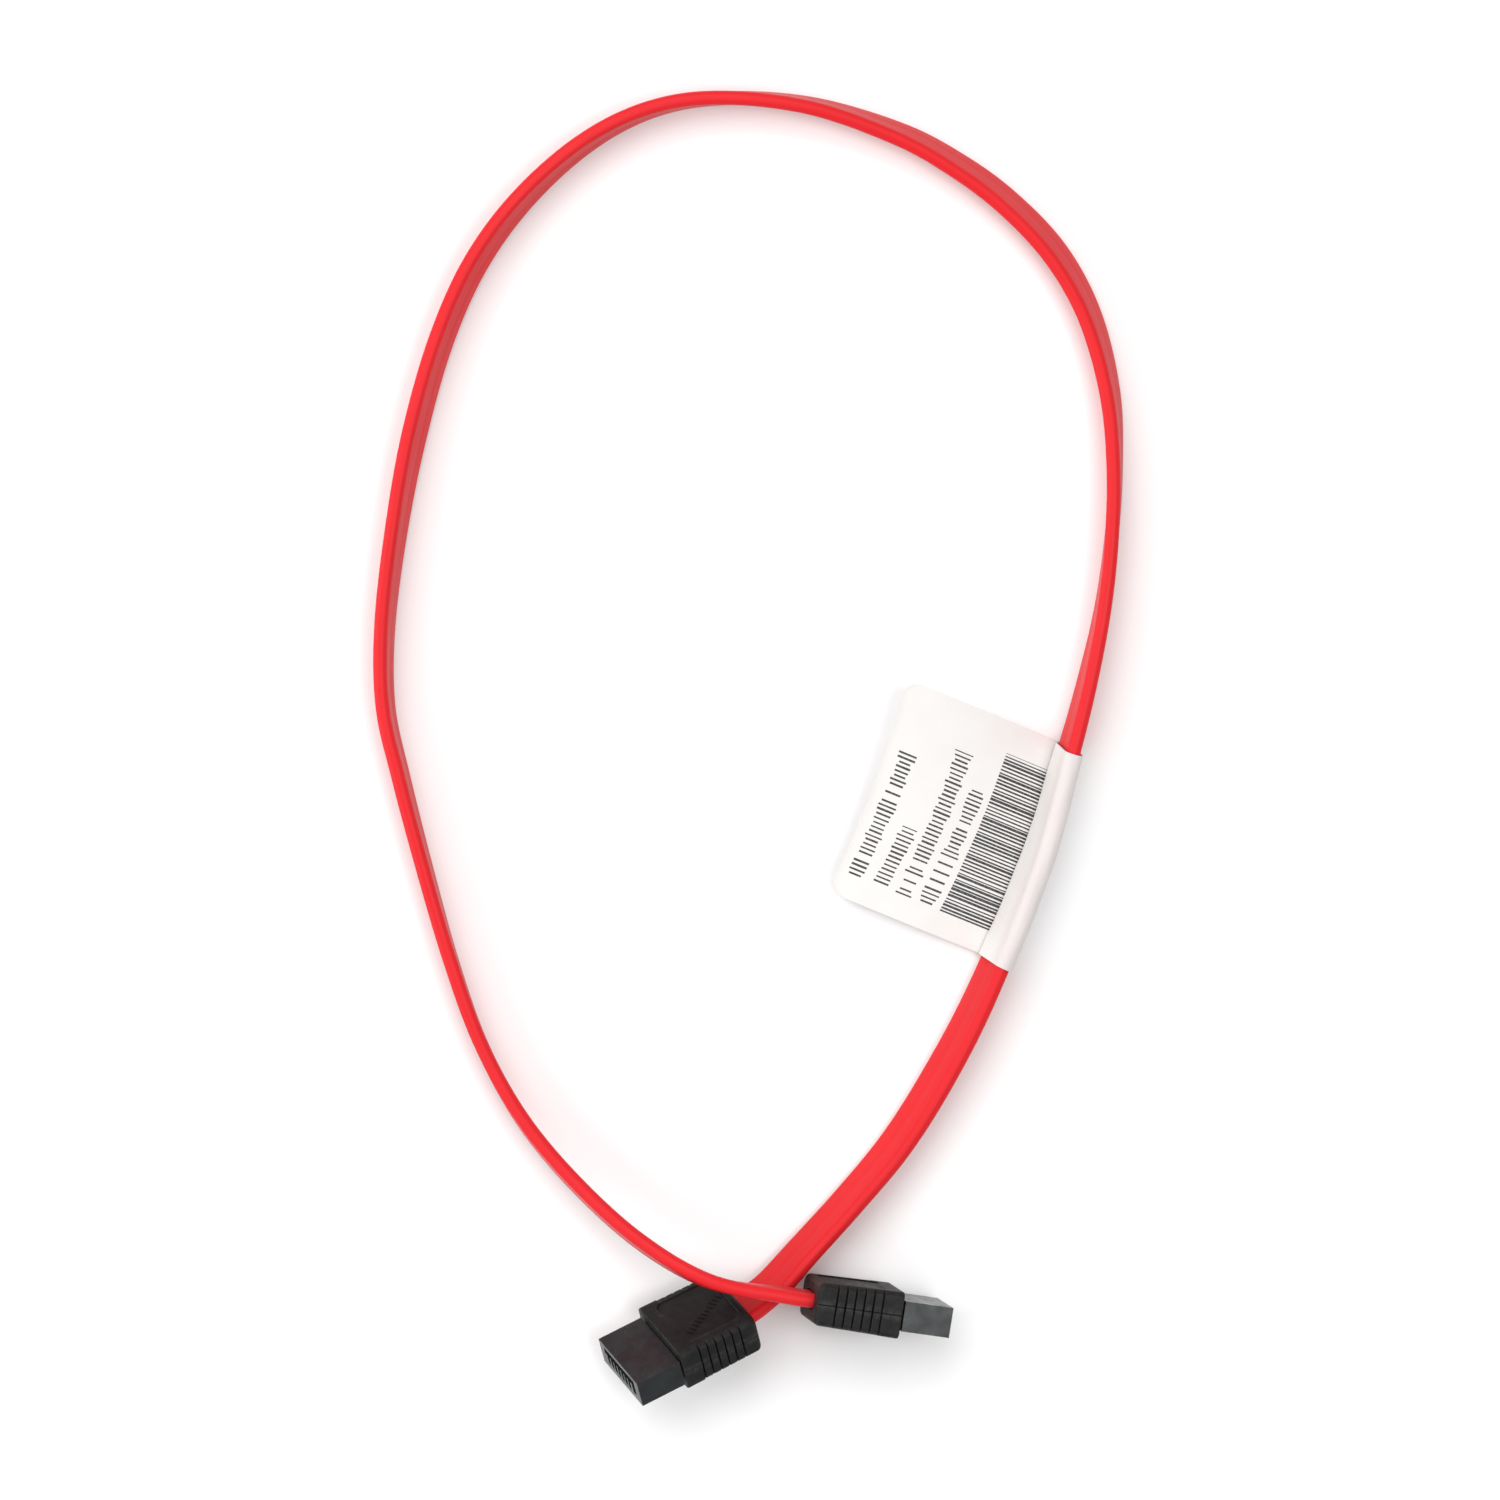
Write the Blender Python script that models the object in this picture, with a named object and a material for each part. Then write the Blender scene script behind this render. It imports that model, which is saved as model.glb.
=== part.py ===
"""A flat seven-contact data cable lying in an egg-shaped loop on a table.

The cable stands on its narrow edge. Each end has a straight moulded connector, and a paper label is folded
round the cable as a flag. Lengths are in millimetres until a mesh is made, and +Z is up from the table.
"""

import math

import bpy
import bmesh
from mathutils import Matrix, Vector

MM = 0.001

# Place of the row's origin in the loop's own coordinates
ORIGIN_X = 15.4
ORIGIN_Y = -49.8

# Cable section
CABLE_WIDTH = 8.0
CABLE_THICK = 2.4
CABLE_RADIUS = 0.75
CAVITY_WIDTH = 7.2
CAVITY_THICK = 1.7
CAVITY_RADIUS = 0.6
PAIR_OFFSET = 1.78
FOIL_WIDTH = 3.3
FOIL_THICK = 1.46
FOIL_WALL = 0.1
FOIL_RADIUS = 0.5
FOIL_PROUD = 0.4
WIRE_PROUD = 0.6
WIRE_RADIUS = 0.5
WIRE_OFFSET = 0.56
CORE_RADIUS = 0.2
DRAIN_RADIUS = 0.15
DRAIN_TIP_RADIUS = 0.135
DRAIN_TIP_SPREAD = 0.18
DRAIN_OFFSET = 1.28

# Room under the cable where it lies on the table
TABLE_GAP = 0.04

# Spacing of the stations along the cable, closer together near the connectors
END_STEP = 4.0
END_SPAN = 24.0
MID_STEP = 12.0
# Straight pieces that stand for the curve between two points of the route when its length is measured
SPAN_STEPS = 24

# Connector, in its own axes: x forward from the rear face, y across the width, z through the thickness
MOULD_LENGTH = 14.6
MOULD_WIDTH = 15.9
MOULD_REAR_THICK = 7.3
MOULD_FRONT_THICK = 7.9
MOULD_RADIUS = 0.9
MOULD_REAR_CHAMFER = 0.7
MOULD_FRONT_CHAMFER = 0.3
POCKET_WIDTH = 11.4
POCKET_THICK = 4.6
POCKET_REAR = 1.8
CABLE_GAP = 0.3
CABLE_DEPTH = 1.5
PANEL_REAR = 1.6
PANEL_FRONT = 12.2
PANEL_WIDTH = 12.8
PANEL_DEPTH = 0.25
GROOVES = 6
GROOVE_FIRST = 3.25
GROOVE_PITCH = 1.56
GROOVE_WIDTH = 0.34
GROOVE_SPAN = 5.8
GROOVE_DEPTH = 0.28

NOSE_LENGTH = 8.5
NOSE_WIDTH = 14.4
NOSE_THICK = 5.1
NOSE_SHIFT = 0.55
NOSE_GAP = 0.3
NOSE_CHAMFER = 0.25
STEM_WIDTH = 10.8
STEM_THICK = 4.0
STEM_REAR = 6.0
SLOT_DEPTH = 6.8
SLOT_LOW = -5.0
SLOT_HIGH = 6.0
SLOT_FLOOR = 0.55
SLOT_ROOF = 1.75
KEY_WIDTH = 1.1
KEY_FLOOR = -1.4
CHANNEL_WIDTH = 0.8
CHANNEL_FLOOR = -1.35
CHANNEL_ROOF = 0.65

# How far a cutter reaches past the face that it opens
CUT_PAST = 2.0

CONTACTS = 7
CONTACT_PITCH = 1.27
CONTACT_WIDTH = 0.6
CONTACT_THICK = 0.22
# Contact's centre line from its tail to its tip, as distance forward and height
CONTACT_LINE = (
    (4.2, -0.85),
    (6.6, -0.85),
    (7.2, -0.7),
    (16.0, -0.7),
    (18.6, 0.1),
    (20.4, 0.72),
    (21.4, 0.6),
    (22.7, -0.3),
)
# How a wire spreads from the cable to its contact, from the tip back: distance forward, share of the way
# across, share of the way down, and whether it is bare
WIRE_DROP = -0.46
WIRE_FAN = (
    (6.4, 1.0, 1.0, True),
    (5.05, 1.0, 1.0, True),
    (3.7, 0.8, 0.7, True),
    (3.5, 0.7, 0.5, False),
    (3.0, 0.5, 0.3, False),
)

# Poses: rear-face centre, compass heading of the nose, rise of the nose, and turn about the nose's axis
CONNECTOR_A = ((-2.0, -94.7, 7.65), -154.3, 16.0, 52.0)
CONNECTOR_B = ((10.0, -92.3, 12.9), -8.8, -9.5, 91.0)

# Route between the connectors: x, y, outward lean in degrees, and lift off the table
ROUTE = (
    (3.4, -91.0, 36.0, 1.9),
    (8.8, -85.2, 33.5, 0.4),
    (16.9, -76.3, 32.5, 0.0),
    (24.9, -66.6, 34.0, 0.0),
    (32.2, -55.0, 34.0, 0.3),
    (39.4, -41.0, 30.0, 0.5),
    (48.5, -19.0, 22.0, 0.5),
    (54.0, -0.3, 14.0, 0.5),
    (57.2, 11.8, 9.0, 0.3),
    (59.8, 24.0, 3.0, 0.0),
    (61.3, 36.0, -2.0, 0.0),
    (61.8, 48.0, -7.0, 0.0),
    (61.0, 60.5, -15.0, 0.0),
    (57.6, 73.5, -22.0, 0.0),
    (51.8, 84.1, -27.0, 0.0),
    (43.6, 92.8, -27.0, 0.0),
    (34.8, 99.3, -25.0, 0.0),
    (25.0, 104.5, -21.0, 0.0),
    (10.2, 109.2, -12.0, 0.0),
    (-5.1, 110.5, -4.0, 0.0),
    (-17.0, 108.5, 2.0, 0.0),
    (-28.0, 102.8, 8.0, 0.0),
    (-38.5, 93.4, 13.0, 0.0),
    (-46.6, 82.3, 16.0, 0.0),
    (-52.5, 69.0, 16.5, 0.0),
    (-57.0, 53.0, 16.5, 0.0),
    (-60.0, 37.0, 12.0, 0.0),
    (-61.9, 21.0, 9.0, 0.0),
    (-61.8, 7.5, 7.0, 0.0),
    (-59.2, -4.5, 5.5, 0.0),
    (-55.1, -20.3, 3.0, 0.0),
    (-50.6, -36.0, 0.0, 0.0),
    (-45.5, -50.0, -2.5, 0.3),
    (-38.4, -62.7, -5.0, 1.8),
    (-29.0, -73.7, -7.0, 4.2),
    (-18.0, -83.2, -8.0, 7.6),
    (-6.5, -89.4, -6.0, 10.3),
)
LEAD_A = 1.0
LEAD_B = 4.0

# Paper label, folded round the cable and stuck to itself
LABEL_START = (41.9, -36.6)
LABEL_LENGTH = 38.0
LABEL_GAP = 0.3
LABEL_WALL = 0.2
FLAG_THICK = 0.34
FLAG_REACH_START = 27.6
FLAG_REACH_END = 26.4
FLAG_HEADING = 157.7
FLAG_CORNER = 3.0
FLAG_RISE_START = 0.12
FLAG_RISE_END = 0.3
FLAG_CURL = 0.006
FLAG_SKEW = 1.5
LABEL_STATIONS = 7
FLAG_STRIPS = 5

RED = (0.80, 0.035, 0.045)
BLACK = (0.028, 0.028, 0.030)
NOSE_BLACK = (0.045, 0.045, 0.047)
GOLD = (0.83, 0.62, 0.27)
FOIL = (0.72, 0.73, 0.75)
TIN = (0.60, 0.60, 0.62)
PAPER = (0.83, 0.82, 0.77)
WIRE_COLOURS = ((0.75, 0.73, 0.68), (0.10, 0.16, 0.55), (0.75, 0.73, 0.68), (0.10, 0.16, 0.55))


def clear_scene():
    for obj in list(bpy.data.objects):
        bpy.data.objects.remove(obj, do_unlink=True)


def plain_material(name, colour, roughness, metallic=0.0):
    material = bpy.data.materials.new(name)
    material.use_nodes = True
    shader = material.node_tree.nodes["Principled BSDF"]
    shader.inputs["Base Color"].default_value = (*colour, 1.0)
    shader.inputs["Roughness"].default_value = roughness
    shader.inputs["Metallic"].default_value = metallic
    material.diffuse_color = (*colour, 1.0)
    return material


def add_object(name, points, faces, material=None, pose=None):
    """One mesh object from points in millimetres, its faces turned outwards."""
    mesh = bpy.data.meshes.new(name)
    mesh.from_pydata([Vector(p) * MM for p in points], [], faces)
    work = bmesh.new()
    work.from_mesh(mesh)
    bmesh.ops.recalc_face_normals(work, faces=work.faces)
    work.to_mesh(mesh)
    work.free()
    obj = bpy.data.objects.new(name, mesh)
    bpy.context.scene.collection.objects.link(obj)
    if material:
        mesh.materials.append(material)
    if pose:
        obj.matrix_world = pose
    return obj


def cut(body, cutter):
    """Takes the cutter's shape out of the body and keeps the cutter out of the picture."""
    modifier = body.modifiers.new("cut " + cutter.name, "BOOLEAN")
    modifier.operation = "DIFFERENCE"
    modifier.solver = "EXACT"
    modifier.object = cutter
    cutter.hide_render = True
    cutter.display_type = "WIRE"


def walls(first, count, rings):
    """Quads that join each ring of points to the next one."""
    faces = []
    for ring in range(rings - 1):
        a = first + ring * count
        b = a + count
        for i in range(count):
            j = (i + 1) % count
            faces.append((a + i, a + j, b + j, b + i))
    return faces


def solid_loft(rings):
    """Points and faces of a closed body through rings with one number of points."""
    count = len(rings[0])
    points = [p for ring in rings for p in ring]
    last = (len(rings) - 1) * count
    faces = walls(0, count, len(rings))
    faces.append(tuple(range(count)))
    faces.append(tuple(range(last, last + count)))
    return points, faces


def hollow_loft(outer, inner):
    """Points and faces of a tube with an outer and an inner ring at each station."""
    count = len(outer[0])
    rings = len(outer)
    points = [p for ring in outer for p in ring] + [p for ring in inner for p in ring]
    shift = rings * count
    faces = walls(0, count, rings) + walls(shift, count, rings)
    for start in (0, (rings - 1) * count):
        for i in range(count):
            j = (i + 1) % count
            faces.append((start + i, start + j, shift + start + j, shift + start + i))
    return points, faces


def rounded_section(width, thick, radius, splits, corner_steps=3):
    """(u, v) points round a rounded rectangle: u through the thickness, v across the width."""
    half_u = thick / 2 - radius
    half_v = width / 2 - radius
    corners = ((half_u, half_v, 0), (-half_u, half_v, 90), (-half_u, -half_v, 180), (half_u, -half_v, 270))
    section = []
    for number, (cu, cv, start) in enumerate(corners):
        for step in range(corner_steps):
            angle = math.radians(start + 90 * step / (corner_steps - 1))
            section.append((cu + radius * math.cos(angle), cv + radius * math.sin(angle)))
        # Extra points along the wide faces, which follow the second and the last corner
        if number % 2 == 1:
            side = -1 if number == 1 else 1
            for i in range(1, splits):
                section.append((side * thick / 2, -side * half_v * (1 - 2 * i / splits)))
    return section


def round_section(radius, count):
    turns = [2 * math.pi * (i + 0.5) / count for i in range(count)]
    return [(radius * math.cos(t), radius * math.sin(t)) for t in turns]


def box(low, high):
    """Points and faces of a box between two corners."""
    x, y, z = zip(low, high)
    points = [(x[i & 1], y[i >> 1 & 1], z[i >> 2 & 1]) for i in range(8)]
    faces = [(0, 2, 3, 1), (4, 5, 7, 6), (0, 1, 5, 4), (2, 6, 7, 3), (0, 4, 6, 2), (1, 3, 7, 5)]
    return points, faces


def joined(shapes):
    """Several separate shapes as one list of points and one of faces."""
    points = []
    faces = []
    for more_points, more_faces in shapes:
        shift = len(points)
        points += more_points
        faces += [tuple(i + shift for i in face) for face in more_faces]
    return points, faces


def pose_matrix(pose):
    """Rotation columns are the nose's direction, the width and the thickness, lengths in millimetres."""
    rear, heading, rise, turn = pose
    heading, rise, turn = (math.radians(a) for a in (heading, rise, turn))
    forward = Vector((math.cos(heading) * math.cos(rise), math.sin(heading) * math.cos(rise), math.sin(rise)))
    level = Vector((0, 0, 1)).cross(forward).normalized()
    upward = forward.cross(level)
    across = level * math.cos(turn) + upward * math.sin(turn)
    normal = forward.cross(across)
    place = Vector(rear) - Vector((ORIGIN_X, ORIGIN_Y, 0))
    matrix = Matrix((forward, across, normal)).transposed().to_4x4()
    return Matrix.Translation(place) @ matrix


def in_metres(matrix):
    scaled = matrix.copy()
    scaled.translation = matrix.translation * MM
    return scaled


def rest_height(lean):
    """Height of the section's centre when its lowest corner touches the table."""
    angle = math.radians(abs(lean))
    across = (CABLE_WIDTH / 2 - CABLE_RADIUS) * math.cos(angle)
    through = (CABLE_THICK / 2 - CABLE_RADIUS) * math.sin(angle)
    return CABLE_RADIUS + across + through + TABLE_GAP


def route_points(pose_a, pose_b):
    """Centre and wide direction at each point of the route, from connector A to connector B.

    The wide direction runs across the cable's 8 mm, and leans towards the outside of the loop.
    """
    wide_a = pose_a.to_3x3() @ Vector((0, 1, 0))
    wide_b = pose_b.to_3x3() @ Vector((0, 1, 0))
    centres = [pose_a @ Vector((CABLE_DEPTH, 0, 0)), pose_a @ Vector((-LEAD_A, 0, 0))]
    for x, y, lean, lift in ROUTE:
        centres.append(Vector((x - ORIGIN_X, y - ORIGIN_Y, rest_height(lean) + lift)))
    centres += [pose_b @ Vector((-LEAD_B, 0, 0)), pose_b @ Vector((CABLE_DEPTH, 0, 0))]
    wides = [wide_a, wide_a]
    for i, point in enumerate(ROUTE):
        travel = centres[i + 3] - centres[i + 1]
        right = travel.cross(Vector((0, 0, 1))).normalized()
        upward = right.cross(travel).normalized()
        angle = math.radians(point[2])
        wides.append(upward * math.cos(angle) + right * math.sin(angle))
    wides += [wide_b, wide_b]
    return centres, wides


def smooth(values, span, t):
    """A Catmull-Rom curve through the values, at fraction t of one span."""
    last = len(values) - 1
    b = values[span]
    c = values[span + 1]
    a = values[span - 1] if span > 0 else b * 2 - c
    d = values[span + 2] if span + 2 <= last else c * 2 - b
    first = (c - a) / 2
    second = (d - b) / 2
    rest = 1 - t
    return (
        b * ((1 + 2 * t) * rest * rest)
        + c * (t * t * (3 - 2 * t))
        + first * (t * rest * rest)
        - second * (t * t * rest)
    )


def cable_stations(pose_a, pose_b):
    """(centre, through, wide) at stations that lie closer together near the connectors."""
    centres, wides = route_points(pose_a, pose_b)
    places = []
    for span in range(len(centres) - 1):
        for i in range(SPAN_STEPS):
            t = i / SPAN_STEPS
            places.append((smooth(centres, span, t), smooth(wides, span, t)))
    places.append((centres[-1], wides[-1]))
    run = [0.0]
    for (here, _), (there, _) in zip(places, places[1:]):
        run.append(run[-1] + (there - here).length)
    total = run[-1]
    ends = int(END_SPAN / END_STEP)
    middle = round((total - 2 * END_SPAN) / MID_STEP)
    wanted = [END_STEP * i for i in range(ends)]
    wanted += [END_SPAN + (total - 2 * END_SPAN) * i / middle for i in range(middle + 1)]
    wanted += [total - END_STEP * i for i in reversed(range(ends))]
    stations = []
    for goal in wanted:
        i = max(1, min(len(run) - 1, sum(1 for r in run if r < goal)))
        t = (goal - run[i - 1]) / (run[i] - run[i - 1])
        centre = places[i - 1][0].lerp(places[i][0], t)
        wide = places[i - 1][1].lerp(places[i][1], t)
        travel = (places[min(i + 1, len(places) - 1)][0] - places[max(i - 2, 0)][0]).normalized()
        wide = (wide - travel * wide.dot(travel)).normalized()
        stations.append((centre, travel.cross(wide), wide))
    return stations, total


def ring_at(station, section, offset=0.0):
    centre, through, wide = station
    return [centre + through * u + wide * (v + offset) for u, v in section]


def moved(station, amount):
    """The station moved along the cable."""
    centre, through, wide = station
    return centre + wide.cross(through) * amount, through, wide


def build_cable(stations):
    outer = rounded_section(CABLE_WIDTH, CABLE_THICK, CABLE_RADIUS, 2)
    inner = rounded_section(CAVITY_WIDTH, CAVITY_THICK, CAVITY_RADIUS, 2)
    shape = hollow_loft([ring_at(s, outer) for s in stations], [ring_at(s, inner) for s in stations])
    add_object("cable_jacket", *shape, plain_material("jacket red", RED, 0.42))
    foil_outer = rounded_section(FOIL_WIDTH, FOIL_THICK, FOIL_RADIUS, 1, 2)
    width = FOIL_WIDTH - 2 * FOIL_WALL
    thick = FOIL_THICK - 2 * FOIL_WALL
    foil_inner = rounded_section(width, thick, FOIL_RADIUS - FOIL_WALL / 2, 1, 2)
    foil_stations = [moved(stations[0], -FOIL_PROUD)] + stations[1:-1] + [moved(stations[-1], FOIL_PROUD)]
    for side, name in ((-1, "foil_shield_a"), (1, "foil_shield_b")):
        shift = side * PAIR_OFFSET
        rings = [ring_at(s, foil_outer, shift) for s in foil_stations]
        hollow = [ring_at(s, foil_inner, shift) for s in foil_stations]
        add_object(name, *hollow_loft(rings, hollow), plain_material(name, FOIL, 0.3, 1.0))


def in_connector(pose, reverse, x, y, z):
    """A station at a point of the connector, facing along the cable."""
    turn = pose.to_3x3()
    through = turn @ Vector((0, 0, -1 if reverse else 1))
    return pose @ Vector((x, y, z)), through, turn @ Vector((0, 1, 0))


def build_wire(name, stations, poses, offset, target, sizes, material):
    """One wire from a contact of connector A to the same contact of connector B.

    sizes holds the wire's radius, the radius of its bare tip and the number of sides.
    """
    radius, tip_radius, sides = sizes
    body = round_section(radius, sides)
    tip = round_section(tip_radius, sides)
    rings = []
    for pose, reverse in ((poses[0], True), (poses[1], False)):
        part = []
        for forward, across, down, bare in WIRE_FAN:
            place = offset + (target - offset) * across
            station = in_connector(pose, reverse, forward, place, WIRE_DROP * down)
            part.append(ring_at(station, tip if bare else body))
        rings.append(part)
    run = [moved(stations[0], -WIRE_PROUD)] + stations + [moved(stations[-1], WIRE_PROUD)]
    run = [ring_at(s, body, offset) for s in run]
    add_object(name, *solid_loft(rings[0] + run + rings[1][::-1]), material)


def build_wires(stations, poses):
    number = 0
    for side, pair in ((-1, "a"), (1, "b")):
        for part in (-1, 1):
            offset = side * PAIR_OFFSET + part * WIRE_OFFSET
            contact = round(offset / CONTACT_PITCH) * CONTACT_PITCH
            name = f"signal_wire_{number + 1}"
            material = plain_material(name, WIRE_COLOURS[number], 0.5)
            build_wire(name, stations, poses, offset, contact, (WIRE_RADIUS, CORE_RADIUS, 6), material)
            number += 1
        for part in (-1, 1):
            offset = side * PAIR_OFFSET + part * DRAIN_OFFSET
            outside = part == side
            contact = side * (CONTACTS - 1) / 2 * CONTACT_PITCH if outside else side * DRAIN_TIP_SPREAD
            place = "outer" if outside else "inner"
            name = f"drain_wire_{pair}_{place}"
            sizes = (DRAIN_RADIUS, DRAIN_TIP_RADIUS, 4)
            build_wire(name, stations, poses, offset, contact, sizes, plain_material(name, TIN, 0.35, 1.0))


def mould_ring(x, width, thick):
    section = rounded_section(width, thick, MOULD_RADIUS, 1, 4)
    return [(x, v, u) for u, v in section]


def build_overmould(letter, pose):
    rear_width = MOULD_WIDTH - 2 * MOULD_REAR_CHAMFER
    rear_thick = MOULD_REAR_THICK - 2 * MOULD_REAR_CHAMFER
    front = MOULD_LENGTH - MOULD_FRONT_CHAMFER
    rings = [
        mould_ring(0, rear_width, rear_thick),
        mould_ring(MOULD_REAR_CHAMFER, MOULD_WIDTH, MOULD_REAR_THICK),
        mould_ring(front, MOULD_WIDTH, MOULD_FRONT_THICK),
        mould_ring(MOULD_LENGTH, MOULD_WIDTH - MOULD_FRONT_CHAMFER, MOULD_FRONT_THICK - MOULD_FRONT_CHAMFER),
    ]
    name = f"overmould_{letter}"
    body = add_object(name, *solid_loft(rings), plain_material(name, BLACK, 0.55), pose)
    pocket_low = (POCKET_REAR, -POCKET_WIDTH / 2, -POCKET_THICK / 2)
    pocket_high = (MOULD_LENGTH + CUT_PAST, POCKET_WIDTH / 2, POCKET_THICK / 2)
    pocket = add_object(f"pocket_{letter}", *box(pocket_low, pocket_high), pose=pose)
    gap = 2 * CABLE_GAP
    section = rounded_section(CABLE_WIDTH + gap, CABLE_THICK + gap, CABLE_RADIUS + CABLE_GAP, 1)
    ends = [[(x, v, u) for u, v in section] for x in (-CUT_PAST, POCKET_REAR + CABLE_GAP)]
    hole = add_object(f"cable_hole_{letter}", *solid_loft(ends), pose=pose)
    shapes = []
    for side in (-1, 1):
        for i in range(GROOVES):
            middle = GROOVE_FIRST + i * GROOVE_PITCH
            depths = sorted((side * (MOULD_WIDTH / 2 - GROOVE_DEPTH), side * (MOULD_WIDTH / 2 + CUT_PAST)))
            low = (middle - GROOVE_WIDTH / 2, depths[0], -GROOVE_SPAN / 2)
            high = (middle + GROOVE_WIDTH / 2, depths[1], GROOVE_SPAN / 2)
            shapes.append(box(low, high))
        slope = (MOULD_FRONT_THICK - MOULD_REAR_THICK) / 2 / MOULD_LENGTH
        panel = []
        for x in (PANEL_REAR, PANEL_FRONT):
            floor = MOULD_REAR_THICK / 2 + slope * x - PANEL_DEPTH
            half = PANEL_WIDTH / 2
            corners = ((-half, floor), (half, floor), (half, floor + CUT_PAST), (-half, floor + CUT_PAST))
            panel.append([(x, v, side * u) for v, u in corners])
        shapes.append(solid_loft(panel))
    relief = add_object(f"relief_{letter}", *joined(shapes), pose=pose)
    for cutter in (pocket, hole, relief):
        cut(body, cutter)


def nose_ring(x, shift, width, thick):
    low = shift - width / 2
    high = shift + width / 2
    return [(x, low, -thick / 2), (x, high, -thick / 2), (x, high, thick / 2), (x, low, thick / 2)]


def build_housing(letter, pose):
    shoulder = MOULD_LENGTH + NOSE_GAP
    front = MOULD_LENGTH + NOSE_LENGTH
    rings = [
        nose_ring(STEM_REAR, 0, STEM_WIDTH, STEM_THICK),
        nose_ring(shoulder, 0, STEM_WIDTH, STEM_THICK),
        nose_ring(shoulder, NOSE_SHIFT, NOSE_WIDTH, NOSE_THICK),
        nose_ring(front - NOSE_CHAMFER, NOSE_SHIFT, NOSE_WIDTH, NOSE_THICK),
        nose_ring(front, NOSE_SHIFT, NOSE_WIDTH - 2 * NOSE_CHAMFER, NOSE_THICK - 2 * NOSE_CHAMFER),
    ]
    name = f"housing_{letter}"
    body = add_object(name, *solid_loft(rings), plain_material(name, NOSE_BLACK, 0.45), pose)
    outline = (
        (SLOT_LOW, SLOT_FLOOR),
        (SLOT_HIGH - KEY_WIDTH, SLOT_FLOOR),
        (SLOT_HIGH - KEY_WIDTH, KEY_FLOOR),
        (SLOT_HIGH, KEY_FLOOR),
        (SLOT_HIGH, SLOT_ROOF),
        (SLOT_LOW, SLOT_ROOF),
    )
    ends = [[(x, v, u) for v, u in outline] for x in (front - SLOT_DEPTH, front + CUT_PAST)]
    slot = add_object(f"slot_{letter}", *solid_loft(ends), pose=pose)
    shapes = []
    for i in range(CONTACTS):
        across = (i - (CONTACTS - 1) / 2) * CONTACT_PITCH
        low = (STEM_REAR - CUT_PAST, across - CHANNEL_WIDTH / 2, CHANNEL_FLOOR)
        high = (front + CUT_PAST, across + CHANNEL_WIDTH / 2, CHANNEL_ROOF)
        shapes.append(box(low, high))
    channels = add_object(f"channels_{letter}", *joined(shapes), pose=pose)
    cut(body, slot)
    cut(body, channels)


def build_contacts(letter, pose):
    for i in range(CONTACTS):
        across = (i - (CONTACTS - 1) / 2) * CONTACT_PITCH
        low = across - CONTACT_WIDTH / 2
        high = across + CONTACT_WIDTH / 2
        half = CONTACT_THICK / 2
        rings = []
        for x, height in CONTACT_LINE:
            under = height - half
            over = height + half
            rings.append([(x, low, under), (x, high, under), (x, high, over), (x, low, over)])
        name = f"contact_{letter}_{i + 1}"
        add_object(name, *solid_loft(rings), plain_material(name, GOLD, 0.25, 1.0), pose)


def label_station(stations, run, goal):
    """The cable's station at a distance along its straight chords."""
    i = max(1, min(len(run) - 1, sum(1 for r in run if r < goal)))
    t = (goal - run[i - 1]) / (run[i] - run[i - 1])
    here, there = stations[i - 1], stations[i]
    return tuple(a.lerp(b, t) for a, b in zip(here, there))


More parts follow.
